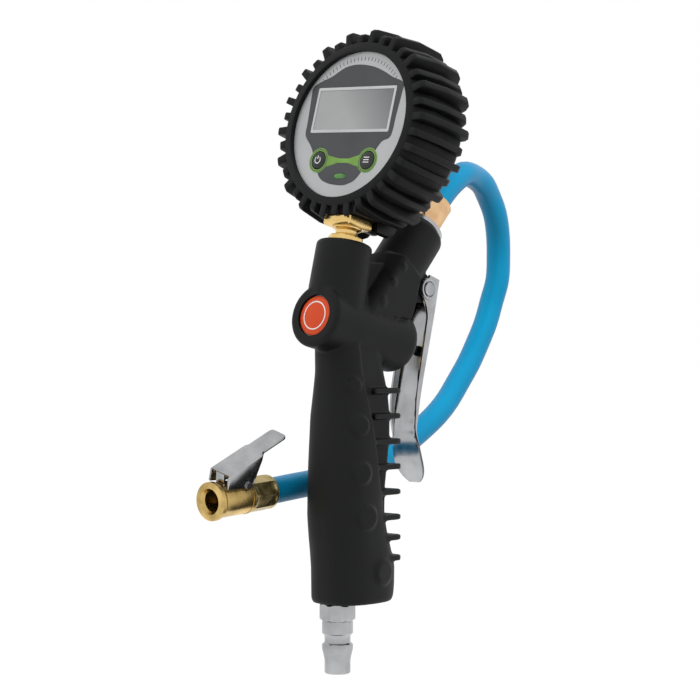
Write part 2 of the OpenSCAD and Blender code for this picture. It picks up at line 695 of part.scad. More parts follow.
module pressure_sensor() color("#b9bdc2") gauge() translate([0, 0, -label_fwd]) rotate([-90, 0, 0]) {
    rod(sensor_r, sensor_low, sensor_low + sensor_h);
    rod(sensor_r - 1.5, sensor_low + sensor_h, sensor_low + sensor_h + sensor_nose_h);
}

module batteries() color("#3d6fa8") gauge() for (s = [-1, 1])
    translate([0, s * battery_y, battery_z]) rotate([0, 90, 0]) {
        rod(battery_d / 2, -battery_l / 2, battery_l / 2 - 1.2);
        rod(2.4, battery_l / 2 - 1.3, battery_l / 2);
    }

// a plate at each end of each cell, the left-hand pair joined
module battery_contacts() color("#cfd2d4") gauge() for (s = [-1, 1], e = [-1, 1])
    translate([e * (battery_l / 2 + 0.35) - contact_t / 2, s * battery_y - contact_w / 2, battery_z - 4])
        cube([contact_t, contact_w, board_z - battery_z + 4 - 0.22]);

module battery_door() color("#2a2b2c") gauge()
    translate([-door_w / 2 + 0.15, -door_h / 2 + 0.15, -case_depth])
        cube([door_w - 0.3, door_h - 0.3, door_t]);

module case_screws() color("#8d9094") gauge() for (p = screw_places) translate([p[0], p[1], 0]) {
    rod(2 * screw_r - 0.2, -case_depth + 0.3, -case_depth + 2);
    rod(screw_r, -case_depth + 1.5, plate_back - 1);
}

module status_lens() color("#6fae3c") face()
    translate([-lens_w / 2, lens_y - lens_h / 2, plate_back]) cube([lens_w, lens_h, -plate_back]);

module tact_switches() color("#2c2c2e") face() for (s = [-1, 1]) translate([s * button_x, button_y, 0]) {
    translate([-switch_w / 2, -switch_w / 2, board_z + board_t]) cube([switch_w, switch_w, switch_w / 2]);
    rod(1.4, board_z + board_t + 2, button_low - button_travel - 0.1);
}
button_low = plate_back - 1.3;

// round cap with a flange behind the plate that keeps it in
module button_cap() {
    rounded_rod(button_r, plate_back - 0.6, 0.8, 0.1, 0.4);
    rod(button_r + button_flange, button_low, plate_back - 0.1);
}
module on_button() color("#20262a") face() translate([-button_x, button_y, 0]) button_cap();
module func_button() color("#20262a") face() translate([button_x, button_y, 0]) button_cap();

// rubber boot: body, front and back lips, and ribs tall and short by turns
module gauge_boot() color("#151617") gauge() difference() {
    union() {
        // body, drawn in towards the face
        rod(boot_r, -case_depth - 2.5, -8);
        translate([0, 0, -8]) cylinder(r1 = boot_r, r2 = boot_front_r, h = 10);
        for (i = [0:boot_ribs - 1]) rotate([0, 0, i * 360 / boot_ribs]) boot_rib(i % 2 == 0 ? 0 : 1.7);
    }
    rod(case_r + fit, -case_depth - fit, 0.1);
    rod(label_r + 0.1, -1, 3);
    rod(case_r - 6.5, -case_depth - 4, -case_depth);
    // opening at the bottom for the port and the stem's square
    translate([-stem_square / 2 - 2.2, -50, boss_back - 0.7]) cube([stem_square + 4.4, 30, 1 - boss_back]);
}

module boot_rib(drop) {
    back = -case_depth - 2.5;
    translate([-boot_rib_t / 2, 0, 0]) rotate([90, 0, 90]) linear_extrude(boot_rib_t) polygon([
        [boot_front_r - 1, 2], [boot_rib_r - 3.6 - drop, 2], [boot_rib_r - 2.8 - drop, 1],
        [boot_rib_r - drop, -12],
        [boot_rib_r - drop, back + 4], [boot_rib_r - 4 - drop, back], [boot_front_r - 1, back]]);
}

// ---------------------------------------------------------------- lever

// where the lever's web crosses the chamber axis
function lever_at(z, i = 0) = i >= len(lever_back) - 2 || z > lever_back[i + 1][1]
    ? lerp(lever_back[i][0], lever_back[i + 1][0],
        (lever_back[i][1] - z) / (lever_back[i][1] - lever_back[i + 1][1]))
    : lever_at(z, i + 1);
lever_touch = lever_at(0) - lever_t;
lever_ear_r = 4.4;
lever_out = lever_in + lever_t;

module trigger() color("#c3c6c8") head() {
    difference() {
        union() {
            // web with a rounded, flared tongue
            intersection() {
                side_plate(-lever_out, lever_out, concat(lever_back, reverse_offset(lever_back, lever_t)));
                lever_front_outline();
            }
            for (s = [-1, 1]) lever_flange(s > 0 ? lever_in : -lever_out, s > 0 ? lever_out : -lever_in);
            // rolled rings round the pin holes
            for (s = [-1, 1]) translate([s > 0 ? lever_out - 0.1 : -lever_out - 0.6, pivot_y, pivot_z])
                rotate([0, 90, 0]) ring(lever_ear_r - 0.2, lever_ear_r - 1.1, 0, 0.7);
        }
        translate([-12, pivot_y, pivot_z]) rotate([0, 90, 0]) rod(pivot_r + fit, 0, 24);
    }
}

// the back line moved forward by d
function reverse_offset(line, d) = [for (i = [len(line) - 1:-1:0])
    let (t = unit(line[min(len(line) - 1, i + 1)] - line[max(0, i - 1)]))
        [line[i][0] + t[1] * d, line[i][1] - t[0] * d]];

// outline seen from behind: parallel sides, then a wider rounded end
module lever_front_outline() translate([0, 80, 0]) rotate([90, 0, 0]) linear_extrude(60) polygon(concat(
    [[-lever_out, 30], [-lever_out, -30], [-lever_out + 0.2, -38], [-lever_out, -42]],
    [for (i = [0:8]) [-lever_out * cos(i * 22.5), -43.5 - 8.4 * sin(i * 22.5)]],
    [[lever_out, -42], [lever_out - 0.2, -38], [lever_out, -30], [lever_out, 30]]));

module lever_flange(a, b) {
    side_plate(a, b, concat(
        [[lever_at(27) - 0.1, 27], [pivot_y, pivot_z + lever_ear_r - 0.2],
            [pivot_y - lever_ear_r + 0.6, pivot_z - 0.5]],
        [for (p = lever_depth) [lever_at(p[1]) - p[0], p[1]]],
        [[lever_at(-37) - 0.1, -37]],
        [for (i = [len(lever_back) - 6:-1:1]) [lever_back[i][0] - 0.1, lever_back[i][1]]]));
    translate([a, pivot_y, pivot_z]) rotate([0, 90, 0]) rod(lever_ear_r, 0, b - a);
}

module trigger_pin() color("#e3e5e6") head() translate([0, pivot_y, pivot_z]) rotate([0, 90, 0]) {
    rod(pivot_r, -lever_out - 0.5, lever_out + 0.5);
    for (s = [0, 180]) rotate([0, s, 0]) rounded_rod(2.8, lever_out + 0.1, lever_out + 1.1, 0.1, 0.6);
}

// ---------------------------------------------------------------- hose and chuck

// a point at height z on the neck side, y behind it, seen from the plug tip
function head_point(y, z) =
    [0, y * cos(lean) + z * sin(lean) - head_shift, chamber_h - y * sin(lean) + z * cos(lean)];
function outlet_point(s) = head_point(outlet_root_y + s * sin(outlet_angle), s * cos(outlet_angle));
function chuck_point(s) = chuck_mouth + s * [0, cos(chuck_dip), sin(chuck_dip)];

module hose() color("#1fa6dc") {
    // straight for a few millimetres out of each ferrule, and along the route between them
    sweep(concat([outlet_point(hose_start), outlet_point(hose_start + 3)], route,
        [chuck_point(chuck_hose_end + 3), chuck_point(chuck_hose_end)]), hose_r - fit, 12, [1, 0, 0]);
    // ends gripped inside the two ferrules
    outlet() ring(hose_r, barb_r, outlet_ferrule_at + 1, hose_start);
    chuck() ring(hose_r, barb_r, chuck_ferrule_at + 1, chuck_hose_end);
}
chuck_hose_end = chuck_ferrule_at + ferrule_len;

module chuck_ferrule() color("#8a7d45") chuck() crimped_ferrule(chuck_ferrule_at);

// insert behind the seal: flange, thread and hose barb
module chuck_tail() color("#d9c27c") chuck() difference() {
    union() {
        rod(chuck_bore_r + 0.8 - fit, tail_at, chuck_len);
        rod(chuck_r + 0.2, chuck_len, chuck_ferrule_at);
        barb(chuck_ferrule_at - 0.1, ferrule_len - 1);
    }
    rod(1.9, tail_at - 1, chuck_ferrule_at + ferrule_len);
}

module chuck_body() color("#cfa544") chuck() difference() {
    union() {
        rounded_rod(chuck_ring_r, 0, 2.3, 0.5, 0.3);
        rod(chuck_r - 0.3, 2, 3.4);
        rod(chuck_r, 3.2, chuck_len);
        // lug for the thumb lever's pin, flat on top for the spring
        translate([-3.6, 4, thumb_pin[0] - 2.6]) cube([7.2, thumb_lug_top - 4, 5.2]);
    }
    translate([0, 0, -0.1]) cylinder(r1 = chuck_bore_r + 1, r2 = chuck_bore_r, h = 1.6);
    rod(chuck_bore_r, -1, chuck_seal_at);
    rod(chuck_bore_r + 0.8, chuck_seal_at - 0.1, chuck_len + 1);
    translate([-10, thumb_pin[1], thumb_pin[0]]) rotate([0, 90, 0]) rod(thumb_pin_r + fit, 0, 20);
    // slot that lets the lever's tooth reach the valve's thread
    translate([-tooth_w / 2 - gap, 2, 3.4]) cube([tooth_w + 2 * gap, 10, 3.2]);
}

module chuck_seal() color("#1b1b1c") chuck()
    ring(chuck_bore_r + 0.7, 1.7, chuck_seal_at, chuck_seal_at + chuck_seal_t);

// small cross that holds the pin which presses the tyre valve's core
module chuck_core_pin() color("#b98f3a") chuck() {
    ring(chuck_bore_r + 0.7, 3.4, core_ring_at, core_ring_at + core_ring_t);
    for (a = [0, 90]) rotate([0, 0, a]) translate([-3.6, -0.6, core_ring_at + 0.2]) cube([7.2, 1.2, 1.4]);
    rod(0.9, chuck_seal_at + 0.1, core_ring_at + 1);
}

module chuck_lever() color("#b9bcbe") chuck() difference() {
    union() {
        // thumb plate, a little narrower behind the ears
        side_plate_z(-thumb_w / 2, thumb_w / 2, [[3, 11], [19.5, 18.31], [19.2, 18.98], [3, 11.8]]);
        side_plate_z(1 - thumb_w / 2, thumb_w / 2 - 1, [[16, 16.76], [31.2, 23.5], [31, 24.2], [16, 17.56]]);
        // tooth folded down from the front edge
        side_plate_z(-tooth_w / 2, tooth_w / 2, [[3, 11.4], [4.1, 4.3], [4.9, 4.3], [4.2, 11.6]]);
        // side ears round the pin
        for (s = [-1, 1]) side_plate_z(s > 0 ? thumb_w / 2 - thumb_t : -thumb_w / 2,
            s > 0 ? thumb_w / 2 : -thumb_w / 2 + thumb_t,
            [[3, 11.2], [2.6, 6.4], [12, 5.6], [15.4, 5.4], [16.4, 6.6], [19.6, 18.4]]);
    }
    translate([-10, thumb_pin[1], thumb_pin[0]]) rotate([0, 90, 0]) rod(thumb_pin_r + fit, 0, 20);
}

// plate whose outline is drawn in chuck Z and Y, from x = a to x = b
module side_plate_z(a, b, outline) translate([a, 0, 0]) rotate([90, 0, 90])
    linear_extrude(b - a) polygon([for (p = outline) [p[1], p[0]]]);

module chuck_lever_pin() color("#d5d8da") chuck()
    translate([0, thumb_pin[1], thumb_pin[0]]) rotate([0, 90, 0]) {
        rod(thumb_pin_r, -thumb_w / 2 - 0.4, thumb_w / 2 + 0.4);
        for (s = [-1, 1]) translate([0, 0, s * (thumb_w / 2 + 0.35)])
            cylinder(r = 1.5, h = 0.5, center = true);
    }

module chuck_spring() color("#9aa0a6") chuck() translate([0, 0, thumb_pin[0] + 1]) rotate([-90, 0, 0])
    spring(1.4, 0.6, thumb_lug_top + 0.02, 15.4, 5);

// ---------------------------------------------------------------- drawing

valve_body();
grip_sleeve();
inlet_plug();
inlet_washer();
inlet_filter();
valve_cap();
cap_seal();
badge();
valve_seat();
valve_spindle();
poppet_seal();
valve_spring();
spindle_gland();
gland_seals();
outlet_fitting();
outlet_ferrule();
gauge_stem();
stem_washer();
gauge_case();
gauge_boot();
face_plate();
face_label();
lcd_window();
lcd_module();
circuit_board();
pressure_sensor();
batteries();
battery_contacts();
battery_door();
case_screws();
status_lens();
tact_switches();
on_button();
func_button();
trigger();
trigger_pin();
hose();
chuck_ferrule();
chuck_tail();
chuck_body();
chuck_seal();
chuck_core_pin();
chuck_lever();
chuck_lever_pin();
chuck_spring();
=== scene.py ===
# Tyre inflator with a digital gauge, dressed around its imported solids.
# Metres, with each piece's own sizes in millimetres. Origin at the tip of the air inlet
# plug, +Z up the handle, -Y towards the user.
from math import atan2, copysign, cos, degrees, exp, pi, radians, sin, sqrt

import bmesh
import bpy
from mathutils import Matrix, Vector


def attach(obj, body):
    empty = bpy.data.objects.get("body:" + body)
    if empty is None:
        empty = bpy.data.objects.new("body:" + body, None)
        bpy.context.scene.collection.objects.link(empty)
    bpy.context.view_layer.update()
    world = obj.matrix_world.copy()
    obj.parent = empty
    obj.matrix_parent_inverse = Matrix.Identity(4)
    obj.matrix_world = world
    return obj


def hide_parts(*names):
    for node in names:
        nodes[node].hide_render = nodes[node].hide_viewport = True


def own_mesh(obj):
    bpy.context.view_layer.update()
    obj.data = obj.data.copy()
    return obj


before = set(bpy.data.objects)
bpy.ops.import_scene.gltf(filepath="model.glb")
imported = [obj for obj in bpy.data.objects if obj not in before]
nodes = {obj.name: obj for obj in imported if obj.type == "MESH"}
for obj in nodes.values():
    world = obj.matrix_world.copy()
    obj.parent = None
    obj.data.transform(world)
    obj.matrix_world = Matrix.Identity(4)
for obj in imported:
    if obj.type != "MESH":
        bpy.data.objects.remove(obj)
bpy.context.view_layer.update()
scene = bpy.context.scene


# ------------------------------------------------------------------ stage and camera
# A plain white floor far under the tool, which hangs in the air as on its air line, a
# white room that metal and glass show just as the camera sees it, and four soft lamps.

def turned(angle, axis):
    return Matrix.Rotation(radians(angle), 4, axis)


def moved(x, y, z):
    return Matrix.Translation((x, y, z))


millimetres = Matrix.Scale(0.001, 4)


def mesh_object(name, points, faces, place=millimetres, crease=40):
    """A closed mesh from points in the place's frame, shaded smooth below the crease angle."""
    mesh = bpy.data.meshes.new(name)
    mesh.from_pydata([place @ Vector(p) for p in points], [], faces)
    work = bmesh.new()
    work.from_mesh(mesh)
    bmesh.ops.remove_doubles(work, verts=work.verts, dist=1e-7)
    bmesh.ops.recalc_face_normals(work, faces=work.faces)
    work.to_mesh(mesh)
    work.free()
    thing = bpy.data.objects.new(name, mesh)
    scene.collection.objects.link(thing)
    return shaded(thing, crease)


def shaded(thing, crease=40):
    thing.data.polygons.foreach_set("use_smooth", [True] * len(thing.data.polygons))
    thing.data.set_sharp_from_angle(angle=radians(crease))
    return thing


def new_material(name):
    material = bpy.data.materials.new(name)
    material.use_nodes = True
    material.node_tree.nodes.clear()
    return material, material.node_tree.nodes, material.node_tree.links


def shown_white(tree, links):
    """1 for what the camera, metal and glass see, and 0 for the rays that light the tool."""
    path = tree.new("ShaderNodeLightPath")
    total = path.outputs["Is Camera Ray"]
    for ray in ("Is Glossy Ray", "Is Transmission Ray"):
        larger = tree.new("ShaderNodeMath")
        larger.operation = "MAXIMUM"
        links.new(total, larger.inputs[0])
        links.new(path.outputs[ray], larger.inputs[1])
        total = larger.outputs[0]
    return total


floor_drop = 400
floor_reach = 40000
floor_colour = (0.3, 0.3, 0.3, 1)
floor_glow = 0.88
floor = mesh_object("floor", [(x * floor_reach, y * floor_reach, -floor_drop) for x, y in (
    (-1, -1), (1, -1), (1, 1), (-1, 1))], [(0, 1, 2, 3)])
white_floor, tree, links = new_material("white_floor")
out = tree.new("ShaderNodeOutputMaterial")
matt = tree.new("ShaderNodeBsdfDiffuse")
matt.inputs["Color"].default_value = floor_colour
glow = tree.new("ShaderNodeEmission")
glow_strength = tree.new("ShaderNodeMath")
glow_strength.operation = "MULTIPLY"
glow_strength.inputs[1].default_value = floor_glow
both = tree.new("ShaderNodeAddShader")
links.new(shown_white(tree, links), glow_strength.inputs[0])
links.new(glow_strength.outputs[0], glow.inputs["Strength"])
links.new(matt.outputs[0], both.inputs[0])
links.new(glow.outputs[0], both.inputs[1])
links.new(both.outputs[0], out.inputs["Surface"])
floor.data.materials.append(white_floor)

# the room lights the tool softly, and is seen as plain white
room_light, room_white = 0.5, 1.0
world = bpy.data.worlds.new("studio")
scene.world = world
world.use_nodes = True
tree, links = world.node_tree.nodes, world.node_tree.links
strength = tree.new("ShaderNodeMapRange")
strength.inputs["To Min"].default_value = room_light
strength.inputs["To Max"].default_value = room_white
links.new(shown_white(tree, links), strength.inputs["Value"])
links.new(strength.outputs["Result"], tree["Background"].inputs["Strength"])
tree["Background"].inputs["Color"].default_value = (1, 1, 1, 1)

# the camera stands level, to the right of the user's side
camera_turn = radians(42.3)
camera_distance = 0.709
camera_side = 0.00477
camera_height = 0.1232
camera = bpy.data.objects.new("camera", bpy.data.cameras.new("camera"))
scene.collection.objects.link(camera)
camera.location = (camera_distance * sin(camera_turn) + camera_side * cos(camera_turn),
                   -camera_distance * cos(camera_turn) + camera_side * sin(camera_turn), camera_height)
camera.rotation_euler = (pi / 2, 0, camera_turn)
camera.data.lens = 95.55
camera.data.sensor_width = 36
camera.data.clip_start = 0.05
camera.data.clip_end = 100
scene.camera = camera
scene.view_settings.view_transform = "Standard"


def studio_place(turn, distance, height=0.0):
    """A place round the tool, turned from the camera's side by so many degrees."""
    angle = camera_turn + radians(turn)
    return Vector((distance * sin(angle), -distance * cos(angle), height))


lamp_aim = Vector((0, 0.02, 0.13))


def soft_lamp(name, turn, height, distance, size, power):
    """A lamp with a broad face that lights the tool and isn't itself seen in the metal."""
    lamp = bpy.data.objects.new(name, bpy.data.lights.new(name, "AREA"))
    scene.collection.objects.link(lamp)
    lamp.data.shape = "RECTANGLE"
    lamp.data.size = size[0]
    lamp.data.size_y = size[1]
    lamp.data.energy = power
    lamp.visible_glossy = False
    lamp.location = studio_place(turn, distance, height)
    lamp.rotation_euler = (lamp_aim - lamp.location).to_track_quat("-Z", "Y").to_euler()


soft_lamp("lamp_left", -62, 0.55, 0.9, (0.5, 0.7), 5)
soft_lamp("lamp_right", 70, 0.45, 0.9, (0.35, 0.8), 4.5)
soft_lamp("lamp_above", 10, 1.05, 0.35, (0.7, 0.5), 3)
soft_lamp("lamp_behind", 160, 0.6, 0.9, (0.6, 0.5), 3)


# ------------------------------------------------------------------ hose
# A short run of blue polyurethane air hose, extruded clear to the depth of a millimetre,
# pushed over a barb at each end and held by a crimped ferrule.

head_frame = millimetres @ moved(0, -2.5, 134) @ turned(-12.5, "X")
outlet_frame = head_frame @ moved(0, 14.6, 0) @ turned(-30, "X")
chuck_mouth = Vector((-24, -44.4, 66.6))
chuck_frame = millimetres @ moved(*chuck_mouth) @ turned(-86, "X") @ turned(198, "Z")

hose_radius = 5.15
outlet_ferrule_start = 57.2
chuck_ferrule_start = 17.9
ferrule_length = 13
hose_route = [
    (-0.2, 65.8, 188.9), (-0.7, 71.5, 192.7), (-2, 79, 196), (-5, 89, 196), (-7, 98, 193.5),
    (-10, 106, 189), (-12, 113, 182), (-15, 119, 173.5), (-17, 122, 164), (-18, 122.5, 154),
    (-20, 121, 144.5), (-21, 118, 135), (-22, 113.5, 126), (-22.5, 108, 117.5), (-23, 101.5, 109.5),
    (-23, 94.5, 102), (-23, 87, 96), (-23.5, 78.5, 90.5), (-24, 69.5, 85.5), (-24, 60.5, 81.5),
    (-24, 51, 78), (-24, 41, 75), (-24, 31, 73), (-24, 21, 71.7), (-24, 11, 70.8), (-24, 1, 70)]


def smooth_path(points, cuts):
    """The points with cuts between each two, on one smooth curve through them all."""
    path = []
    for i in range(len(points) - 1):
        a, b, c, d = (Vector(points[min(len(points) - 1, max(0, i + k))]) for k in (-1, 0, 1, 2))
        for cut in range(cuts):
            t = cut / cuts
            path.append(0.5 * (2 * b + (c - a) * t + (2 * a - 5 * b + 4 * c - d) * t * t
                               + (3 * b - a - 3 * c + d) * t ** 3))
    return path + [Vector(points[-1])]


def ring_faces(rings, sides):
    """The faces between so many rings of points, each ring closed on itself."""
    return [(i * sides + k, i * sides + n, (i + 1) * sides + n, (i + 1) * sides + k)
            for i in range(rings - 1) for k, n in ((k, (k + 1) % sides) for k in range(sides))]


def tube(name, path, radius, sides, place=Matrix.Identity(4)):
    """A closed round tube along a path."""
    points, side = [], Vector((1, 0, 0))
    for i, middle in enumerate(path):
        along = (path[min(len(path) - 1, i + 1)] - path[max(0, i - 1)]).normalized()
        side = (side - along * side.dot(along)).normalized()
        over = along.cross(side)
        points += [middle + (side * cos(2 * pi * k / sides) + over * sin(2 * pi * k / sides)) * radius
                   for k in range(sides)]
    ends = [tuple(range(sides)), tuple(range(len(points) - sides, len(points)))]
    return mesh_object(name, points, ring_faces(len(path), sides) + ends, place)


def new_group(name, inputs, outputs):
    """A shader node group with named number or colour sockets."""
    group = bpy.data.node_groups.new(name, "ShaderNodeTree")
    for label, value in inputs:
        socket = group.interface.new_socket(name=label, in_out="INPUT", socket_type="NodeSocketFloat")
        socket.default_value = value
    for label in outputs:
        group.interface.new_socket(name=label, in_out="OUTPUT", socket_type="NodeSocketFloat")
    return group, group.nodes.new("NodeGroupInput"), group.nodes.new("NodeGroupOutput")


# grain: a fine height for the bump, and a slow drift of tone over the surface
grain, group_in, group_out = new_group("grain", [("Size", 1.0), ("Drift", 20.0)], ["Height", "Tone"])
where = grain.nodes.new("ShaderNodeTexCoord")
for spacing, result, detail in (("Size", "Height", 3), ("Drift", "Tone", 4)):
    per_metre = grain.nodes.new("ShaderNodeMath")
    per_metre.operation = "DIVIDE"
    per_metre.inputs[0].default_value = 1000
    noise = grain.nodes.new("ShaderNodeTexNoise")
    noise.inputs["Detail"].default_value = detail
    grain.links.new(group_in.outputs[spacing], per_metre.inputs[1])
    grain.links.new(where.outputs["Object"], noise.inputs["Vector"])
    grain.links.new(per_metre.outputs[0], noise.inputs["Scale"])
    grain.links.new(noise.outputs["Fac"], group_out.inputs[result])


def finish(name, colour, other, roughness, rougher, metallic=0.0, specular=0.5, coat=0.0,
           grain_size=0.5, grain_height=0.0, drift=20.0, low=0.35, high=0.65):
    """A material that drifts between two colours and two roughnesses, with a fine grain in its surface."""
    material, tree, links = new_material(name)
    out = tree.new("ShaderNodeOutputMaterial")
    skin = tree.new("ShaderNodeBsdfPrincipled")
    skin.name = "skin"
    pattern = tree.new("ShaderNodeGroup")
    pattern.node_tree = grain
    share = tree.new("ShaderNodeMapRange")
    mix = tree.new("ShaderNodeMix")
    mix.data_type = "RGBA"
    mix.name = "tone"
    spread = tree.new("ShaderNodeMapRange")
    bump = tree.new("ShaderNodeBump")
    for node, socket, value in (
            (skin, "Metallic", metallic), (skin, "Specular IOR Level", specular), (skin, "Coat Weight", coat),
            (skin, "Coat Roughness", 0.08), (pattern, "Size", grain_size), (pattern, "Drift", drift),
            (share, "From Min", low), (share, "From Max", high), (mix, "A", (*colour, 1)),
        (mix, "B", (*other, 1)),
            (spread, "To Min", roughness), (spread, "To Max", rougher), (bump, "Strength", 1.0),
            (bump, "Distance", grain_height * 0.001)):
        node.inputs[socket].default_value = value
    links.new(pattern.outputs["Tone"], share.inputs["Value"])
    links.new(share.outputs["Result"], mix.inputs["Factor"])
    links.new(share.outputs["Result"], spread.inputs["Value"])
    links.new(mix.outputs["Result"], skin.inputs["Base Color"])
    links.new(spread.outputs["Result"], skin.inputs["Roughness"])
    if grain_height:
        links.new(pattern.outputs["Height"], bump.inputs["Height"])
        links.new(bump.outputs["Normal"], skin.inputs["Normal"])
    links.new(skin.outputs[0], out.inputs["Surface"])
    return material


hose_ends = [outlet_frame @ Vector((0, 0, outlet_ferrule_start + ferrule_length - 2)),
             outlet_frame @ Vector((0, 0, outlet_ferrule_start + ferrule_length + 3)),
             chuck_frame @ Vector((0, 0, chuck_ferrule_start + ferrule_length + 3)),
             chuck_frame @ Vector((0, 0, chuck_ferrule_start + ferrule_length - 2))]
hose_path = smooth_path(hose_ends[:2] + [Vector(p) * 0.001 for p in hose_route] + hose_ends[2:], 4)
hose = tube("air_hose", hose_path, hose_radius * 0.001, 32)
hose_blue = finish("hose_blue", (0.002, 0.35, 0.64), (0.004, 0.39, 0.70), 0.36, 0.44, specular=0.2, coat=0.05,
                   grain_size=0.8, grain_height=0.004, drift=30)


def tinted(material, share, colour):
    """Draws a finish towards another colour by a share that its own nodes give."""
    tree, links = material.node_tree.nodes, material.node_tree.links
    tint = tree.new("ShaderNodeMix")
    tint.data_type = "RGBA"
    tint.inputs["B"].default_value = (*colour, 1)
    links.new(share, tint.inputs["Factor"])
    links.new(tree["tone"].outputs["Result"], tint.inputs["A"])
    links.new(tint.outputs["Result"], tree["skin"].inputs["Base Color"])


# painted shade: the hose is darker towards its edges, where the wall is deeper to look through
painted_edge_shade = hose_blue.node_tree.nodes.new("ShaderNodeLayerWeight")
painted_edge_shade.inputs["Blend"].default_value = 0.35
tinted(hose_blue, painted_edge_shade.outputs["Facing"], (0.001, 0.17, 0.40))
hose.data.materials.append(hose_blue)


def fixed(piece, body, finish_slot, *stands_for):
    """Sets a piece on a body, and puts it in the place of the plain solids it stands for."""
    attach(piece, body)
    if stands_for:
        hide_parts(*stands_for)
    return piece


fixed(hose, "body", "hose_blue", "hose")


# ------------------------------------------------------------------ valve body and its insides
# The handle, valve chamber, neck and outlet are one die-cast zinc piece. The valve works
# inside it: a brass seat, an acetal spindle with its rubber seal, a spring and a gland.

die_cast = finish("die_cast", (0.42, 0.43, 0.44), (0.50, 0.51, 0.52), 0.42, 0.6, metallic=1.0,
                  grain_size=0.35, grain_height=0.02)
yellow_brass = finish("yellow_brass", (0.74, 0.50, 0.17), (0.80, 0.58, 0.24), 0.22, 0.30, metallic=1.0,
                      grain_size=0.3, grain_height=0.002, drift=8)
black_acetal = finish("black_acetal", (0.02, 0.02, 0.021), (0.03, 0.03, 0.032), 0.38, 0.5, grain_size=0.3,
                      grain_height=0.004)
seal_black = finish("seal_black", (0.012, 0.012, 0.013), (0.02, 0.02, 0.02), 0.55, 0.7, specular=0.3,
                    grain_size=0.25, grain_height=0.008)
spring_steel = finish("spring_steel", (0.42, 0.42, 0.43), (0.56, 0.56, 0.57), 0.22, 0.36, metallic=1.0,
                      grain_size=0.15, grain_height=0.003, drift=4)
sintered_bronze = finish("sintered_bronze", (0.45, 0.27, 0.12), (0.58, 0.37, 0.18), 0.45, 0.65, metallic=1.0,
                         grain_size=0.4, grain_height=0.06, drift=3)


def dress(material, *names):
    for name in names:
        for place in nodes[name].material_slots:
            place.material = material


def clad(piece, material):
    """One material over the whole of a piece."""
    piece.data.materials.clear()
    piece.data.materials.append(material)
    piece.data.polygons.foreach_set("material_index", [0] * len(piece.data.polygons))
    return piece


dress(die_cast, "valve_body", "valve_cap")
dress(yellow_brass, "valve_seat", "spindle_gland")
dress(black_acetal, "valve_spindle")
dress(seal_black, "cap_seal", "poppet_seal", "gland_seals", "inlet_washer", "chuck_seal")
dress(sintered_bronze, "inlet_filter")

chamber_frame = head_frame @ turned(-90, "X")


def coil_spring(name, place, radius, wire, low, high, turns):
    path = [Vector((radius * cos(a), radius * sin(a),
                    low + wire / 2 + (high - low - wire) * a / (2 * pi * turns)))
            for a in (2 * pi * i / 20 for i in range(20 * turns + 1))]
    spring = tube(name, path, wire / 2, 8, place)
    return clad(spring, spring_steel)


valve_spring = fixed(coil_spring("valve_spring_coil", chamber_frame, 3.2, 0.8, -7.3, 5.4, 6),
                     "body", "spring_steel", "valve_spring")
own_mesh(valve_spring)


# ------------------------------------------------------------------ inlet plug
# The quick-coupler plug for the air line, turned from hexagonal steel bar, bored through
# and plated with nickel and chrome. Its hexagon takes the spanner that screws it in.

def lathe(name, profile, place, sides=96, hollow=False, radius_at=None):
    """A turned piece from (radius, height) pairs; hollow joins the last pair to the first.
    radius_at(angle, radius, height) may press the round into another section."""
    points, rows = [], []
    for radius, height in profile:
        if radius < 1e-6:
            rows.append([len(points)] * sides)
            points.append((0, 0, height))
            continue
        rows.append([len(points) + k for k in range(sides)])
        for k in range(sides):
            angle = 2 * pi * k / sides
            r = radius_at(angle, radius, height) if radius_at else radius
            points.append((r * cos(angle), r * sin(angle), height))
    faces = []
    for low, high in zip(rows, rows[1:] + ([rows[0]] if hollow else [])):
        for k in range(sides):
            corners = tuple(dict.fromkeys((low[k], low[(k + 1) % sides], high[(k + 1) % sides], high[k])))
            if len(corners) > 2:
                faces.append(corners)
    return mesh_object(name, points, faces, place)


def rod(name, radius, low, high, place, sides=96):
    return lathe(name, [(0, low), (radius, low), (radius, high), (0, high)], place, sides)


def settle(thing, crease=40):
    """Makes a piece's modifiers plain mesh."""
    done = bpy.data.meshes.new_from_object(thing.evaluated_get(bpy.context.evaluated_depsgraph_get()))
    thing.modifiers.clear()
    thing.data = done
    return shaded(thing, crease)


def soften(thing, width, segments=2, angle=32, crease=40):
    """Breaks the edges sharper than the angle, as tumbling or moulding does."""
    bevel = thing.modifiers.new("soft_edges", "BEVEL")
    bevel.width = width * 0.001
    bevel.segments = segments
    bevel.limit_method = "ANGLE"
    bevel.angle_limit = radians(angle)
    return settle(thing, crease)


def hexagon(across, angle, largest):
    """The radius of a hexagon turned from bar, whose corners are cut at the largest radius."""
    off = (angle + pi / 6) % (pi / 3) - pi / 6
    return min(across / 2 / cos(off), largest)


nickel_chrome = finish("nickel_chrome", (0.33, 0.335, 0.345), (0.44, 0.445, 0.455), 0.12, 0.22, metallic=1.0,
                       grain_size=0.9, grain_height=0.002, drift=8)
hex_turn = radians(12)
plug = lathe("inlet_plug_body", [
    (2.6, 0), (4.6, 0), (5, 0.4), (5, 5.2), (6, 9.6), (6, 11), (5.6, 11.5), (5, 11.8), (5, 14), (5.4, 14.9),
    (6, 15.4),
    (6, 19.6), (5.6, 20.2), (6.1, 20.21), (6.93, 20.75), (6.93, 25.95), (6.1, 26.5), (4.85, 26.5),
    (4.85, 37.5), (2.6, 37.5)], millimetres, sides=144, hollow=True,
    radius_at=lambda angle, radius, height:
        hexagon(12, angle - hex_turn, radius) if 20.2 < height < 26.6 and radius > 5.9 else radius)
soften(plug, 0.12)
fixed(clad(plug, nickel_chrome), "body", "plated_steel", "inlet_plug")


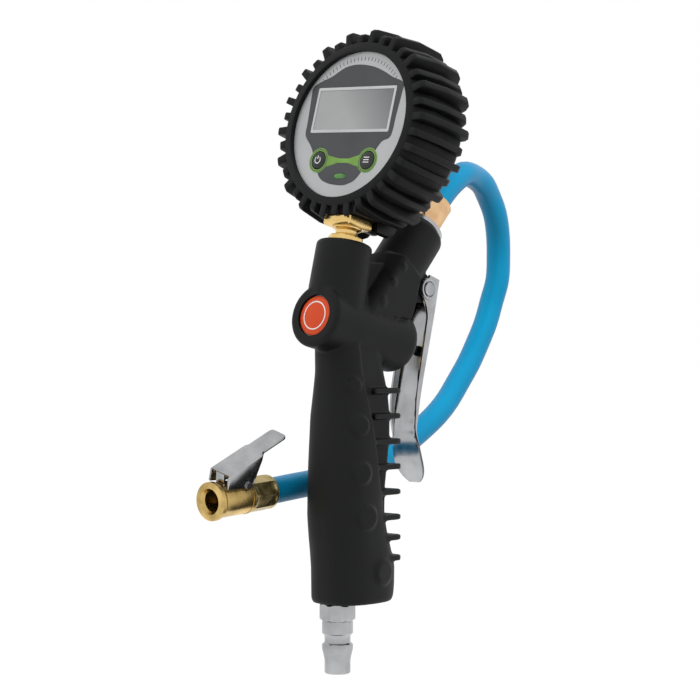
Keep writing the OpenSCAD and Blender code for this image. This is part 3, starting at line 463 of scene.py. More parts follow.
# ------------------------------------------------------------------ rubber sleeve
# One moulding of black rubber over the whole casting: grip with ribs under the fingers,
# barrel, neck, and the flat-sided housing of the outlet, with mouths where pieces come out.

grip_line = [(26, -7.8, 24.2), (32, -8, 25.4), (40, -8.2, 25.6), (46, -8.6, 23.6), (52, -9.2, 21.4),
             (60, -9.8, 19.4),
             (70, -9.6, 19.6), (80, -9.4, 21.2), (90, -8.8, 22.6), (98, -8.2, 22.6), (107, -7.6, 22.2),
             (116, -7.2, 20.4), (122, -7.2, 17.6), (130, -7.2, 16)]
grip_half_widths = [(98, 13.3), (107, 12), (114, 10.8), (130, 10.2)]
strip_half_width = 9.4
grip_foot = 26.6


def along_table(table, at, column):
    """A column's value at a height, on straight lines between the table's rows."""
    for low, high in zip(table, table[1:]):
        if at <= high[0] or high == table[-1]:
            share = min(1, max(0, (at - low[0]) / (high[0] - low[0])))
            return low[column] + (high[column] - low[column]) * share


def grip_shape(z):
    """Middle and half depth of the grip at a height."""
    front, rear = along_table(grip_line, z, 1), along_table(grip_line, z, 2)
    return (front + rear) / 2, (rear - front) / 2


def grip_ring(z, sides):
    """The grip's outline at a height, squarish, and drawn in a little at the foot."""
    middle, depth = grip_shape(z)
    drawn = 1 - 0.05 * max(0, (grip_foot + 2.5 - z) / 2.5) ** 2
    half = along_table(grip_half_widths, z, 1)
    bow = lambda v: copysign(abs(v) ** 0.8, v)
    return [(drawn * half * bow(cos(2 * pi * k / sides)),
             middle + drawn * depth * bow(sin(2 * pi * k / sides)), z) for k in range(sides)]


def loft(name, rings, place=millimetres):
    """A closed solid through rings of as many points each."""
    sides = len(rings[0])
    ends = [tuple(range(sides)), tuple(range(len(rings) * sides - sides, len(rings) * sides))]
    return mesh_object(name, [p for ring in rings for p in ring], ends + ring_faces(len(rings), sides), place)


def side_plate(name, low, high, outline, place=millimetres):
    """A flat plate drawn in its place's Y and Z, from one X to another."""
    return loft(name, [[(x, y, z) for y, z in outline] for x in (low, high)], place)


def plate(name, outline, low, high, place=millimetres):
    """A flat plate drawn in its place's X and Y, from one Z to another."""
    return loft(name, [[(x, y, z) for x, y in outline] for z in (low, high)], place)


def joined(name, pieces):
    """Several closed pieces as one object."""
    work = bmesh.new()
    for piece in pieces:
        work.from_mesh(piece.data)
        bpy.data.objects.remove(piece)
    mesh = bpy.data.meshes.new(name)
    work.to_mesh(mesh)
    work.free()
    thing = bpy.data.objects.new(name, mesh)
    scene.collection.objects.link(thing)
    return thing


def cut(thing, cutter):
    """Takes the cutter's solids out of a piece."""
    knife = thing.modifiers.new("cut", "BOOLEAN")
    knife.operation = "DIFFERENCE"
    knife.solver = "MANIFOLD"
    knife.object = cutter
    settle(thing)
    bpy.data.objects.remove(cutter)
    return thing


def rounded(radius, low, high, at_low, at_high):
    """The profile of a solid rod with rounded rims."""
    quarter = [radians(15 * i) for i in range(7)]
    return ([(0, low)] + [(radius - at_low + at_low * sin(a), low + at_low - at_low * cos(a)) for a in quarter]
            + [(radius - at_high + at_high * cos(a), high - at_high + at_high * sin(a)) for a in quarter]
            + [(0, high)])


grip = loft("grip", [grip_ring(z, 72) for z in
                     [grip_foot + 0.4 * i for i in range(7)] + [31 + 2.25 * i for i in range(44)]])
crease_line = [(1.5, 124), (3.7, 108), (5.3, 98), (7.3, 89), (9, 79), (11, 70), (14, 60), (18, 50), (24, 42)]
behind_crease = [(0.4, 134)] + crease_line + [(40, 42), (40, 134)]
cut(grip, joined("strip_steps", [side_plate("step_right", strip_half_width, 25, behind_crease),
                                 side_plate("step_left", -25, -strip_half_width, behind_crease)]))

# one finger rib, set at each of its heights by a tree
rib_half, rib_thick, rib_reach, rib_corner = 12.3, 2.1, 25.2, 4
rib_front = rib_reach - rib_corner
rib_outline = ([(-rib_half, 8), (-rib_half, rib_front)]
               + [(-rib_half + rib_corner - rib_corner * cos(a), rib_front + rib_corner * sin(a))
                  for a in (radians(15 * i) for i in range(1, 6))]
               + [(rib_half - rib_corner + rib_corner * cos(a), rib_front + rib_corner * sin(a))
                  for a in (radians(75 - 15 * i) for i in range(0, 6))] + [(rib_half, 8)])
finger_rib = plate("finger_rib", rib_outline, -rib_thick / 2, rib_thick / 2)

copies_at_points = bpy.data.node_groups.new("copies_at_points", "GeometryNodeTree")
for label, kind in (("Geometry", "NodeSocketGeometry"), ("Piece", "NodeSocketObject"),
                    ("Finish", "NodeSocketMaterial")):
    copies_at_points.interface.new_socket(name=label, in_out="INPUT", socket_type=kind)
copies_at_points.interface.new_socket(name="Geometry", in_out="OUTPUT", socket_type="NodeSocketGeometry")
tree = copies_at_points.nodes
came_in, went_out = tree.new("NodeGroupInput"), tree.new("NodeGroupOutput")
unit = tree.new("GeometryNodeObjectInfo")
place = tree.new("GeometryNodeInstanceOnPoints")
turn = tree.new("GeometryNodeInputNamedAttribute")
turn.data_type = "FLOAT_VECTOR"
turn.inputs["Name"].default_value = "turn"
real = tree.new("GeometryNodeRealizeInstances")
colour = tree.new("GeometryNodeSetMaterial")
for source, output, target, socket in (
        (came_in, "Geometry", place, "Points"), (came_in, "Piece", unit, "Object"),
        (unit, "Geometry", place, "Instance"), (turn, "Attribute", place, "Rotation"),
        (place, "Instances", real, "Geometry"), (real, "Geometry", colour, "Geometry"),
        (came_in, "Finish", colour, "Material"), (colour, "Geometry", went_out, "Geometry")):
    copies_at_points.links.new(source.outputs[output], target.inputs[socket])


def copies(name, unit_piece, material, places, place=millimetres, crease=40):
    """One plain mesh of a piece repeated at (x, y, z, turn about Z in degrees), in the place's own frame."""
    mesh = bpy.data.meshes.new(name)
    mesh.from_pydata([(x * 0.001, y * 0.001, z * 0.001) for x, y, z, _ in places], [], [])
    turns = mesh.attributes.new("turn", "FLOAT_VECTOR", "POINT")
    turns.data.foreach_set("vector", [v for *_, angle in places for v in (0, 0, radians(angle))])
    thing = bpy.data.objects.new(name, mesh)
    scene.collection.objects.link(thing)
    step = thing.modifiers.new("copies", "NODES")
    step.node_group = copies_at_points
    for socket in copies_at_points.interface.items_tree:
        if socket.in_out == "INPUT" and socket.name in ("Piece", "Finish"):
            step[socket.identifier] = unit_piece if socket.name == "Piece" else material
    settle(thing, crease)
    thing.data.transform(place @ Matrix.Scale(1000, 4))
    bpy.data.objects.remove(unit_piece)
    return thing


rubber = finish("moulded_rubber", (0.0065, 0.0068, 0.0068), (0.0095, 0.0099, 0.0099), 0.46, 0.6, specular=0.16,
                grain_size=0.45, grain_height=0.035, drift=16)
# the lowest two ribs stand closer together
top_rib, rib_pitch, rib_closer = 107.5, 9.75, 1.9
rib_heights = [top_rib - rib_pitch * i + max(0, i - 5) * rib_closer for i in range(8)]
finger_ribs = copies("finger_ribs", finger_rib, rubber, [(0, 0, z, 0) for z in rib_heights])

chamber_form = lathe("chamber_form", rounded(12.15, -11, 38.5, 1.6, 4), chamber_frame)
neck_form = lathe("neck_form",
                  [(0, 0), (11.45, 0), (11.25, 12), (10.8, 29.2), (10.5, 30.1), (9.6, 30.7), (0, 30.7)],
                  head_frame)
outlet_form = lathe("outlet_form", rounded(10.75, 0, 54, 1, 2.6), outlet_frame)
# flat at its sides and drawn round the front of the outlet
housing = loft("housing", [[(x, y, z) for y, z in ((front, 2), (front, 32), (4.4, 31.4), (9, 21.5), (11.1, 16))]
                           for x, front in ((-11.4, -7.6), (-10.2, -8.8), (-8, -9.8), (-4, -10.6), (0, -10.8),
                                            (4, -10.6), (8, -9.8), (10.2, -8.8), (11.4, -7.6))], outlet_frame)
web = side_plate("web", -4.85, 4.85, [(0, 5), (0, 23.85), (30.8, 29.85), (20.4, 5)], head_frame)
pivot_place = head_frame @ moved(0, 43.75, 23.4) @ turned(90, "Y")
lug_round = lathe("lug_round", rounded(5.4, -6, 6, 0.8, 0.8), pivot_place)
lug_arm = side_plate("lug_arm", -6, 6, [(24, 14), (45, 18.2), (45, 28.6), (30, 34)], head_frame)

bumps = []
grip_bumps = [(-1.6, 109.7, 6.4), (-0.7, 94.6, 8), (-0.2, 76.7, 8.9), (2.3, 59.9, 10.2), (11.8, 38.4, 10.6)]
housing_bumps = [(22.8, 27, 2.7), (18.4, 20, 3.1), (14, 11.2, 3.4)]
grip_bump_height, housing_bump_height, far_bumps_back = 0.95, 0.9, 5


def bump_form(across, height):
    """A low round bump with a flat crown."""
    r = across / 2
    return [(0, -1.5), (r, -1.5), (r, 0), (r * 0.93, height * 0.62), (r * 0.78, height * 0.92), (0, height)]


for side in (-1, 1):
    for y, z, across in grip_bumps:
        # those on the far side sit further back
        y += far_bumps_back if side < 0 else 0
        middle, depth = grip_shape(z)
        half = along_table(grip_half_widths, z, 1)
        out_x = half * (1 - min(1, abs(y - middle) / depth) ** 2.5) ** 0.4
        slope = degrees(atan2((y - middle) * half / depth ** 2, 1)) * 0.8
        bumps.append(lathe("bump", bump_form(across, grip_bump_height), millimetres
                           @ moved(side * (out_x - 0.1), y, z)
                           @ turned(side * slope, "Z") @ turned(side * 90, "Y"), 40))
    for y, z, across in housing_bumps:
        bumps.append(lathe("bump", bump_form(across, housing_bump_height), head_frame
                           @ moved(side * 11.35, y, z)
                           @ turned(side * 90, "Y"), 28))

sleeve = joined("rubber_sleeve",
                [grip, finger_ribs, chamber_form, neck_form, outlet_form, housing, web, lug_round,
                 lug_arm] + bumps)
skin = sleeve.modifiers.new("one_skin", "REMESH")
skin.mode = "VOXEL"
skin.voxel_size = 0.0006
melt = sleeve.modifiers.new("mould_radii", "SMOOTH")
melt.factor = 0.5
melt.iterations = 2
settle(sleeve, 60)
cut(sleeve, joined("mouths", [
    rod("badge_mouth", 7.95, -12, -8.4, chamber_frame),
    rod("gland_mouth", 8, 35, 40, chamber_frame),
    rod("neck_mouth", 6.45, 29.2, 36, head_frame),
    rod("outlet_mouth", 8, 50, 56, outlet_frame),
    rod("plug_mouth", 6.2, 24, 27.5, millimetres)]))
fixed(clad(shaded(sleeve, 50), rubber), "body", "rubber", "grip_sleeve")


# ------------------------------------------------------------------ badge
# A domed disc of orange enamel stuck into the front cap, with a plain thin printed ring
# where a maker would put a mark.

badge_orange = finish("badge_enamel", (0.62, 0.055, 0.006), (0.68, 0.07, 0.009), 0.34, 0.42, specular=0.3,
                      coat=0.1, grain_size=1.2, grain_height=0.003, drift=12)
print_white = finish("print_white", (0.78, 0.78, 0.77), (0.84, 0.84, 0.83), 0.45, 0.55, grain_size=0.2,
                     grain_height=0.002)
badge = lathe("badge_disc", [(0, -9.8), (7.5, -9.8), (7.6, -9.95), (7.5, -10.15), (6.9, -10.35), (4.5, -10.55),
                             (2, -10.63), (0, -10.65)], chamber_frame)
fixed(clad(badge, badge_orange), "body", "badge_orange", "badge")
badge_ring = lathe("badge_ring", [(5.1, -10.42), (5.1, -10.56), (5.55, -10.52), (5.55, -10.38)], chamber_frame,
                   hollow=True)
fixed(clad(badge_ring, print_white), "body", "badge_orange")


# ------------------------------------------------------------------ outlet fitting and ferrule
# A plated nipple screwed into the outlet, and the brass ferrule that is pressed in eight
# flats round the end of the hose on its barb.

dress(nickel_chrome, "outlet_fitting")
flange = lathe("outlet_flange",
               [(5, 54.05), (8.8, 54.05), (9.15, 54.4), (9.15, 55.9), (8.8, 56.25), (5, 56.25)],
               outlet_frame, hollow=True)
fixed(clad(flange, nickel_chrome), "body", "plated_steel")
rosy_brass = finish("rosy_brass", (0.66, 0.40, 0.22), (0.78, 0.53, 0.28), 0.24, 0.36, metallic=1.0,
                    grain_size=0.3, grain_height=0.008, drift=5)
khaki_brass = finish("khaki_brass", (0.30, 0.24, 0.09), (0.52, 0.40, 0.17), 0.26, 0.4, metallic=1.0,
                     grain_size=0.3, grain_height=0.01, drift=4)


def crimped_ferrule(name, place, start, crimps, turn_by):
    """A sleeve with round rims, pressed flat between them all the way round."""
    radius, wall_inside, tail_inside, barb_inside = 6.6, 5.6, 5.25, 3.4
    crimp_from, crimp_to, ridge_height, ridge_width = 1.2, 12.1, 0.22, 0.07

    def pressed(angle, r, height):
        into = min(1, max(0, height - start - crimp_from), max(0, start + crimp_to - height))
        if r < wall_inside or into <= 0:
            return r
        step = 2 * pi / crimps
        off = (angle - turn_by + step / 2) % step - step / 2
        flat = min(radius * cos(step / 2) / cos(off) + 0.12, radius)
        ridge = ridge_height * max(0, 1 - (step / 2 - abs(off)) / ridge_width)
        return r + (flat + ridge - radius) * into * r / radius

    heights = [start + v for v in (0.3, 0.6, 1.2, 1.5, 1.9, 2.2, 4, 6.5, 9, 11, 11.4, 11.8, 12.1, 12.4, 12.7)]
    end = start + ferrule_length
    profile = ([(barb_inside, start), (6.2, start)] + [(radius, h) for h in heights]
               + [(6.3, end), (tail_inside, end), (tail_inside, start + 1), (barb_inside, start + 1)])
    return lathe(name, profile, place, sides=160, hollow=True, radius_at=pressed)


outlet_ferrule = soften(crimped_ferrule("outlet_ferrule_crimped", outlet_frame, outlet_ferrule_start, 8, 0.2),
                        0.08)
fixed(clad(outlet_ferrule, rosy_brass), "body", "brass", "outlet_ferrule")


# ------------------------------------------------------------------ gauge stem
# The gauge stands on a brass adapter turned from square bar: thread, hexagonal flange on
# a copper washer, round waist, and a square block for the spanner.

copper = finish("copper_washer", (0.72, 0.34, 0.18), (0.80, 0.42, 0.24), 0.3, 0.45, metallic=1.0,
                grain_size=0.3, grain_height=0.004)
dress(copper, "stem_washer")
stem = lathe("gauge_stem_turned", [
    (1.6, 22.2), (4.85, 22.2), (4.85, 30.7), (6.1, 30.7), (6.75, 31.1), (6.75, 32.9), (6.1, 33.3), (4.6, 33.5),
    (4.2, 34.1), (4.2, 35.4), (5.6, 36.2), (5.7, 36.75), (4.85, 36.75), (4.85, 47.8), (1.6, 47.8)],
    head_frame, sides=144, hollow=True,
    radius_at=lambda angle, radius, height:
        hexagon(12.4, angle, radius) if 30.6 < height < 33.35 and radius > 5 else radius)


def rectangle(left, low, right, high):
    return [(left, low), (right, low), (right, high), (left, high)]


square = plate("stem_square", rectangle(-7, -7, 7, 7), 36.7, 40.8, head_frame)
chamfer = square.modifiers.new("corners", "BEVEL")
chamfer.width = 0.0009
chamfer.segments = 1
settle(square)
cut(square, rod("stem_bore", 4.8, 34, 44, head_frame))
soften(stem, 0.1)
for piece in (stem, square):
    fixed(clad(soften(piece, 0.1), yellow_brass), "body", "brass", "gauge_stem")


# ------------------------------------------------------------------ gauge case and its insides
# A moulded tub with a port block under it. Inside are a pressure sensor, a circuit board
# with two switches and the display, and two cells behind a door in the back.

gauge_frame = head_frame @ moved(0, -7, 76.2) @ turned(90, "X")
face_frame = gauge_frame @ turned(-4, "Z")

black_plastic = finish("black_plastic", (0.014, 0.014, 0.015), (0.022, 0.022, 0.023), 0.42, 0.55, specular=0.3,
                       grain_size=0.3, grain_height=0.01, drift=10)
board_green = finish("board_green", (0.01, 0.10, 0.035), (0.02, 0.14, 0.05), 0.35, 0.5, grain_size=1.5,
                     grain_height=0.01, drift=5)
cell_sleeve = finish("cell_sleeve", (0.04, 0.14, 0.36), (0.06, 0.18, 0.42), 0.3, 0.42, drift=8)
dress(black_plastic, "gauge_case", "battery_door", "face_plate", "tact_switches")
dress(board_green, "circuit_board")
dress(nickel_chrome, "pressure_sensor", "trigger_pin", "chuck_lever_pin")
dress(spring_steel, "battery_contacts", "case_screws")
dress(cell_sleeve, "batteries")


# ------------------------------------------------------------------ rubber boot
# A thick moulded bumper stretched over the gauge case, drawn in towards the face, with
# ribs tall and short by turns that stand out all round it.

rib_count, boot_rib_half, rib_root, rib_taper = 36, 1.5, 34, 0.03


def boot_rib(drop):
    """One rib, a little wider at its root; drop takes the crest of a short one down."""
    outline = [(31.3, 1.8), (36.9 - drop, 1.8), (38.1 - drop, 0.4), (39.95 - drop, -11), (39.95 - drop, -22.8),
               (38.5 - drop, -25.4), (35.8 - drop, -26.9), (31.3, -26.9)]
    return loft("boot_rib", [[(r, side * (boot_rib_half + (rib_root - r) * rib_taper), z) for r, z in outline]
                             for side in (-1, 1)])


boot_ribs = []
for name, first, drop in (("tall_ribs", 0, 0), ("short_ribs", 1, 1.7)):
    rib = soften(boot_rib(drop), 0.4, 2, 30)
    boot_ribs.append(copies(name, rib, rubber,
                            [(0, 0, 0, 360 * i / rib_count) for i in range(first, rib_count, 2)],
                            gauge_frame))
boot_body = lathe("boot_body",
                  [(29.4, 2), (32.2, 2), (32.6, 1.6), (35, -8), (35, -24.5), (34, -26.4), (32.5, -27),
                   (24.1, -27), (24.1, -24.6), (30.75, -24.6), (30.75, -0.6), (29.4, -0.6)],
                  gauge_frame, sides=144, hollow=True)
boot_parts = [cut(part, side_plate("stem_opening", -9.2, 9.2, rectangle(-50, -15.2, -20, 0.9),
                                   gauge_frame)) for part in (boot_body, joined("boot_ribs", boot_ribs))]
boot = joined("rubber_boot", boot_parts)
fixed(clad(shaded(boot, 50), rubber), "body", "rubber", "gauge_boot")


# ------------------------------------------------------------------ printed face
# A silver film over the front plate, printed with a graphite panel round the display,
# green rings and a green bridge at the two keys, and a plain scale of ticks along the top.

print_silver = finish("print_silver", (0.40, 0.41, 0.415), (0.46, 0.47, 0.475), 0.36, 0.44, metallic=0.2,
                      coat=0.15, grain_size=0.2, grain_height=0.003, drift=25)
print_graphite = finish("print_graphite", (0.022, 0.024, 0.027), (0.034, 0.036, 0.040), 0.3, 0.4, coat=0.2,
                        grain_size=0.2, grain_height=0.002, drift=18)
print_green = finish("print_green", (0.12, 0.27, 0.03), (0.17, 0.34, 0.05), 0.35, 0.45, coat=0.15, drift=6)
dress(print_silver, "face_label")

window = (-20, -2.8, 20, 14.8)
key_places = [(-12.8, -14.3), (12.8, -14.3)]
lens_height = -20.6


def oval(half_width, half_height, x=0, y=0, sides=32):
    return [(x + half_width * cos(a), y + half_height * sin(a))
            for a in (2 * pi * k / sides for k in range(sides))]


def face_openings():
    """The window, the key holes and the lens hole that every print leaves free."""
    holes = [plate("window_hole", rectangle(*window), -1, 1, face_frame),
             plate("lens_hole", oval(3.2, 1.2, y=lens_height), -1, 1, face_frame)]
    holes[1:1] = [rod("key_hole", 3.75, -1, 1, face_frame @ moved(x, y, 0)) for x, y in key_places]
    return joined("face_openings", holes)


def printed(name, outline, low, high, material, place=face_frame):
    """A shape printed on the film, as thick as a few coats of ink."""
    sheet = cut(plate(name, outline, low, high, place), face_openings())
    return fixed(clad(sheet, material), "body", "label_print")


panel_corners = [(-23.1, 16.2), (-19.9, 18.7), (-13.7, 20.6), (-7, 23.7), (0.1, 24.2), (7.5, 22.7),
                 (13.4, 20.2),
                 (18.6, 17.3), (24.5, 14.5), (24.4, 10.6), (23.1, 1.7), (21.9, -6.3), (18, -8.1), (15.5, -11),
                 (8.2, -21.3), (3.2, -24), (-1.5, -24.2), (-8.3, -22.7), (-13, -19.3), (-18.5, -8.4),
                 (-23, -2.7), (-23.1, 2), (-23, 9.6)]
loop = panel_corners[-2:] + panel_corners + panel_corners[:2]
panel_line = [tuple(p[:2]) for p in smooth_path([(x, y, 0) for x, y in loop], 4)[8:-9]]
printed("graphite_panel", panel_line, 0, 0.05, print_graphite, gauge_frame)


def round_corners(left, low, right, high, radius):
    """A rectangle's outline with rounded corners."""
    quarter = [radians(22.5 * i) for i in range(5)]
    corners = ((right - radius, high - radius, 0), (left + radius, high - radius, 90),
               (left + radius, low + radius, 180), (right - radius, low + radius, 270))
    return [(x + radius * cos(a + radians(start)), y + radius * sin(a + radians(start)))
            for x, y, start in corners for a in quarter]


border_grey = finish("border_grey", (0.46, 0.47, 0.475), (0.54, 0.55, 0.555), 0.35, 0.45, coat=0.15,
                     grain_size=0.2, grain_height=0.002)
outside, inside = round_corners(-20.5, -3.1, 20.5, 15.1, 0.6), round_corners(-19.4, -2, 19.4, 14, 0.3)
across = len(outside)
border_faces = [(base + k, base + m, base + rise + m, base + rise + k)
                for k, m in ((k, (k + 1) % across) for k in range(across))
                for base, rise in ((0, across), (2 * across, across), (0, 2 * across), (across, 2 * across))]
border = mesh_object("window_border", [(x, y, z) for z in (0, 0.06) for line in (outside, inside)
                                       for x, y in line], border_faces, face_frame)
fixed(clad(border, border_grey), "body", "label_print")
printed("key_bridge",
        [(-12, -11.4), (-7, -12.6), (-2, -13.6), (3, -13.6), (8, -12.3), (12.5, -11.2), (12.5, -17.3),
         (7.5, -16.6), (2.5, -15.3), (-2.5, -15.3), (-7.5, -16.7), (-12, -17.2)], 0, 0.06, print_green)
for x, y in key_places:
    for radius, height, ink in ((4.95, 0.08, print_green), (4.5, 0.1, print_graphite),
                                (4.2, 0.12, print_green)):
        printed("key_ring", oval(radius, radius, x, y, 64), 0, height, ink)

tick = plate("tick", rectangle(25.7, -0.14, 27.2, 0.14), 0, 0.04)
ticks = copies("scale_ticks", tick, print_graphite, [(0, 0, 0, 40 + 4 * i) for i in range(26)], gauge_frame)
fixed(ticks, "body", "label_print")


# ------------------------------------------------------------------ display and lamp
# A segment display that is switched off, under a clear window, and a small green lamp.

display_grey = finish("display_grey", (0.29, 0.30, 0.30), (0.35, 0.36, 0.36), 0.16, 0.22, coat=0.3, drift=60)
tree, links = display_grey.node_tree.nodes, display_grey.node_tree.links
# painted shade: the display darkens towards the upper right corner
where = tree.new("ShaderNodeTexCoord")
along = tree.new("ShaderNodeVectorMath")
along.operation = "DOT_PRODUCT"
along.inputs[1].default_value = (38, 0, 25)
start = tree.new("ShaderNodeMath")
start.inputs[1].default_value = -5.25
start.use_clamp = True
links.new(where.outputs["Object"], along.inputs[0])
links.new(along.outputs["Value"], start.inputs[0])
tinted(display_grey, start.outputs[0], (0.14, 0.145, 0.15))
dress(display_grey, "lcd_window", "lcd_module")

lens_green = finish("lens_green", (0.03, 0.16, 0.02), (0.06, 0.24, 0.03), 0.2, 0.3, coat=0.4, drift=3)
lens = loft("status_lamp", [[(x, y, z) for x, y in oval(w, h, y=lens_height)] for w, h, z in (
    (3.05, 1.05, -2), (3.05, 1.05, 0.02), (2.8, 0.85, 0.12), (2.2, 0.5, 0.16))], face_frame)
fixed(clad(lens, lens_green), "body", "lens_green", "status_lens")


# ------------------------------------------------------------------ keys
# Two domed rubber-coated caps with a flange behind the plate that keeps them in. One has
# the usual power symbol, and the other three plain bars.

key_black = finish("key_black", (0.012, 0.016, 0.014), (0.018, 0.024, 0.02), 0.32, 0.42, specular=0.35,
                   coat=0.1, grain_size=0.25, grain_height=0.004, drift=4)


def symbol(name, outlines, place, body):
    """A key's sign, moulded into its cap in white."""
    marks = joined(name, [plate("mark", outline, 0.4, 0.79, place) for outline in outlines])
    fixed(clad(shaded(marks), print_white), body, "label_print")


for (x, y), name, body, node in ((key_places[0], "power_key", "on_key", "on_button"),
                                 (key_places[1], "function_key", "func_key", "func_button")):
    at = face_frame @ moved(x, y, 0)
    key = lathe(name, [(0, 0.76), (1.2, 0.74), (2.2, 0.64), (3, 0.44), (3.4, 0.18), (3.55, -0.2), (3.58, -2.1),
                       (4.3, -2.1), (4.3, -3.3), (0, -3.3)], at)
    fixed(clad(key, key_black), body, "key_black", node)
arc = [radians(130 + 11.2 * i) for i in range(26)]
at = face_frame @ moved(*key_places[0], 0)
symbol("power_symbol", [[(1.55 * cos(a), 1.55 * sin(a)) for a in arc]
                        + [(1.2 * cos(a), 1.2 * sin(a)) for a in reversed(arc)],
                        rectangle(-0.17, 0.35, 0.17, 1.75)], at, "on_key")
symbol("function_bars", [rectangle(-1.4, h - 0.17, 1.4, h + 0.17) for h in (-0.95, 0, 0.95)],
       face_frame @ moved(*key_places[1], 0), "func_key")


# ------------------------------------------------------------------ squeeze lever
# One pressing of steel sheet, folded to a channel with two round ears for the pin, flared
# to a rounded tongue at the bottom and plated.

lever_line = [(51.1, 29), (51, 27), (50.9, 16), (50.5, 4), (50, -6), (49.7, -16), (49.8, -23), (50.3, -30),
              (51.5, -35), (53.2, -39.5), (55.6, -44), (58.3, -47.6), (61.3, -51.2)]
flange_depths = [(-60, 0.1), (-39, 0.1), (-36, 0.6), (-33, 1.3), (-28, 2.2), (-22, 3.1), (-16, 3.5), (-8, 3.7),
                 (3, 4.2), (12, 4.6), (15, 5.6), (17, 7), (18.6, 8.2)]
pivot_y, pivot_z, ear_radius = 43.75, 23.4, 4.4
lever_half, lever_sheet, fold_radius = 6.9, 1, 1.3
tongue_flare, tongue_shoulder, tongue_length = 0.25, -43.5, 8.3
waist_depth, waist_height, waist_length = 0.55, -33, 4.5
lever_back = smooth_path([(0, y, z) for y, z in lever_line], 6)[3:]


def flange_depth(y, z):
    """How far the sides of the channel reach forward of its back."""
    if abs(z - pivot_z) < ear_radius:
        return y - pivot_y + sqrt(ear_radius ** 2 - (z - pivot_z) ** 2)
    if z > pivot_z:
        return y - pivot_y
    return along_table(flange_depths, z, 1)


def tongue_half(z):
    """Half the lever's width: a slight waist, a flare, and the rounded end of the tongue."""
    waist = waist_depth * exp(-((z - waist_height) / waist_length) ** 2)
    if z > tongue_shoulder:
        return lever_half - waist + tongue_flare * min(1, max(0, (-36 - z) / 6))
    past = (tongue_shoulder - z) / tongue_length
    return (lever_half + tongue_flare) * sqrt(max(0.0, 1 - past ** 2))


def pressed_sheet(name, rows, place, thickness, edge, even=False):
    """Sheet metal through rows of points, given its thickness and with its edges broken."""
    wide = len(rows[0])
    faces = [(i * wide + k, i * wide + k + 1, (i + 1) * wide + k + 1, (i + 1) * wide + k)
             for i in range(len(rows) - 1) for k in range(wide - 1)]
    sheet = mesh_object(name, [p for row in rows for p in row], faces, place)
    thick = sheet.modifiers.new("sheet", "SOLIDIFY")
    thick.thickness = thickness * 0.001
    thick.offset = -1
    thick.use_even_offset = even
    settle(sheet)
    return soften(sheet, edge, angle=50)


stations = []
for i, middle in enumerate(lever_back):
    ahead = (lever_back[min(len(lever_back) - 1, i + 1)] - lever_back[max(0, i - 1)]).normalized()
    inward = Vector((0, ahead.z, -ahead.y))
    half, depth = tongue_half(middle.z), flange_depth(middle.y, middle.z)
    fold = min(fold_radius, depth * 0.9, half * 0.5)
    section = []
    for side in (-1, 1):
        row = [(side * (half + max(0, depth - fold) * 0.06), depth),
               (side * (half + max(0, depth - fold) * 0.03),
               fold + (depth - fold) * 0.5)]
        row += [(side * (half - fold + fold * cos(a)), fold - fold * sin(a)) for a in
                (radians(18 * k) for k in range(6))]
        section += row if side < 0 else row[::-1]
    # the tongue is dished for the fingers
    crown = (0.25 * min(1, max(0, (middle.z + 44) / 30))
             + 0.3 * min(1, max(0, (-33 - middle.z) / 8))) * half / lever_half
    flat = [(section[7][0] + (section[8][0] - section[7][0]) * t, -crown * sin(pi * t))
            for t in (0.1, 0.2, 0.35, 0.5, 0.65, 0.8, 0.9)]
    section[8:8] = flat
    stations.append([middle + Vector((x, 0, 0)) + inward * d for x, d in section])
lever = pressed_sheet("squeeze_lever", stations, head_frame, lever_sheet, 0.22, even=True)
fixed(clad(lever, nickel_chrome), "lever", "plated_steel", "trigger")
for side in (-1, 1):
    rolled = lathe("pivot_ring", [(3.1, 7.2), (3.2, 7.9), (3.7, 8.15), (4.2, 7.95), (4.45, 7.2)],
                   head_frame @ moved(0, pivot_y, pivot_z) @ turned(90 * side, "Y"), hollow=True)
    fixed(clad(rolled, nickel_chrome), "lever", "plated_steel")


# ------------------------------------------------------------------ clip-on chuck
# A turned brass body with a rubber seal and a cross inside, which opens the tyre valve, a
# ferrule on its tail, and a plated thumb lever whose tooth holds the valve's thread.

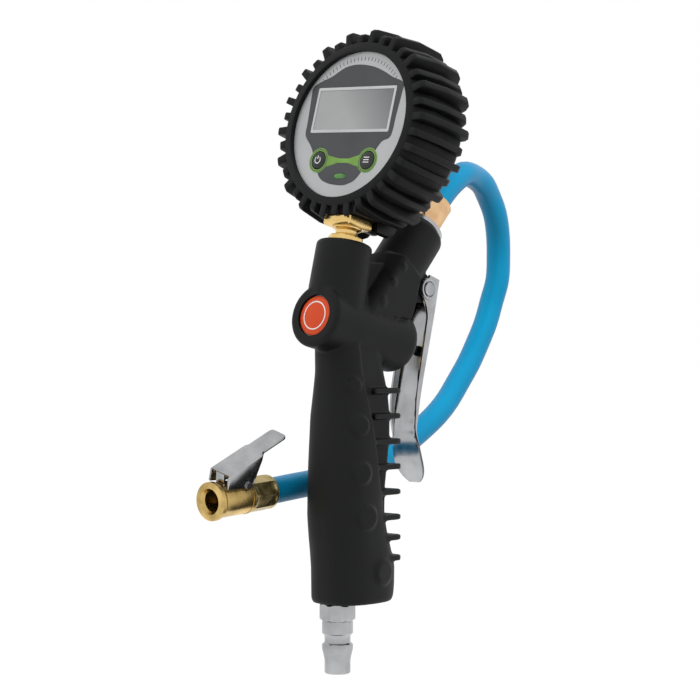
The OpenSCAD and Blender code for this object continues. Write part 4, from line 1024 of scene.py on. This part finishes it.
aged_brass = finish("aged_brass", (0.42, 0.29, 0.10), (0.74, 0.52, 0.20), 0.2, 0.32, metallic=1.0,
                    grain_size=0.3, grain_height=0.008, drift=7)
dress(aged_brass, "chuck_body", "chuck_core_pin", "chuck_tail")
chuck_ferrule = soften(crimped_ferrule("chuck_ferrule_crimped", chuck_frame, chuck_ferrule_start, 8, 0.1), 0.08)
fixed(clad(chuck_ferrule, khaki_brass), "body", "brass", "chuck_ferrule")

thumb_half, thumb_sheet, thumb_steps = 5.3, 0.8, 44
thumb_start, thumb_length, thumb_foot, thumb_rise = 3, 28.2, 11.8, 0.4433
ears_end = 19.8
ear_line = [(3, 6.4), (12, 5.7), (15.4, 5.5), (16.4, 6.8), (18.6, 15.2), (19.6, 17.6)]
rows = []
for i in range(thumb_steps + 1):
    z = thumb_start + thumb_length * i / thumb_steps
    top = thumb_foot + (z - thumb_start) * thumb_rise
    # the sheet narrows behind the ears, and its end is rounded
    share = min(1, max(0, (z - 18.8) / 1.4))
    half = thumb_half - share * share * (3 - 2 * share)
    half -= 0.9 * max(0, (z - 30.2)) ** 2
    low = min(along_table(ear_line, z, 1), top - 1.3) if z < ears_end else top - 0.9
    fold = 0.9 if z < ears_end else 0.5
    edge = [(half, low), (half, (low + top - fold) / 2)] + [
        (half - fold + fold * cos(a), top - fold + fold * sin(a)) for a in
        (radians(18 * k) for k in range(6))]
    rows.append([(-x, y, z) for x, y in edge] + [(x, y, z) for x, y in reversed(edge)])
rows.append([(x, y - 0.75, 31.3) for x, y, _ in rows[-1]])
thumb = pressed_sheet("thumb_plate", rows, chuck_frame, thumb_sheet, 0.15)
tooth = side_plate("thumb_tooth", -2.2, 2.2, [(11.2, 3), (4.3, 4.1), (4.3, 4.9), (11.2, 4.2)], chuck_frame)
fixed(clad(thumb, nickel_chrome), "thumb_lever", "sheet_steel", "chuck_lever")
fixed(clad(soften(tooth, 0.15), nickel_chrome), "thumb_lever", "sheet_steel")

spring_place = chuck_frame @ moved(0, 0, 15) @ turned(-90, "X")
chuck_spring = fixed(coil_spring("chuck_spring_coil", spring_place, 1.4, 0.6, 8.62, 15.3, 5), "body",
                     "spring_steel", "chuck_spring")
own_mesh(chuck_spring)
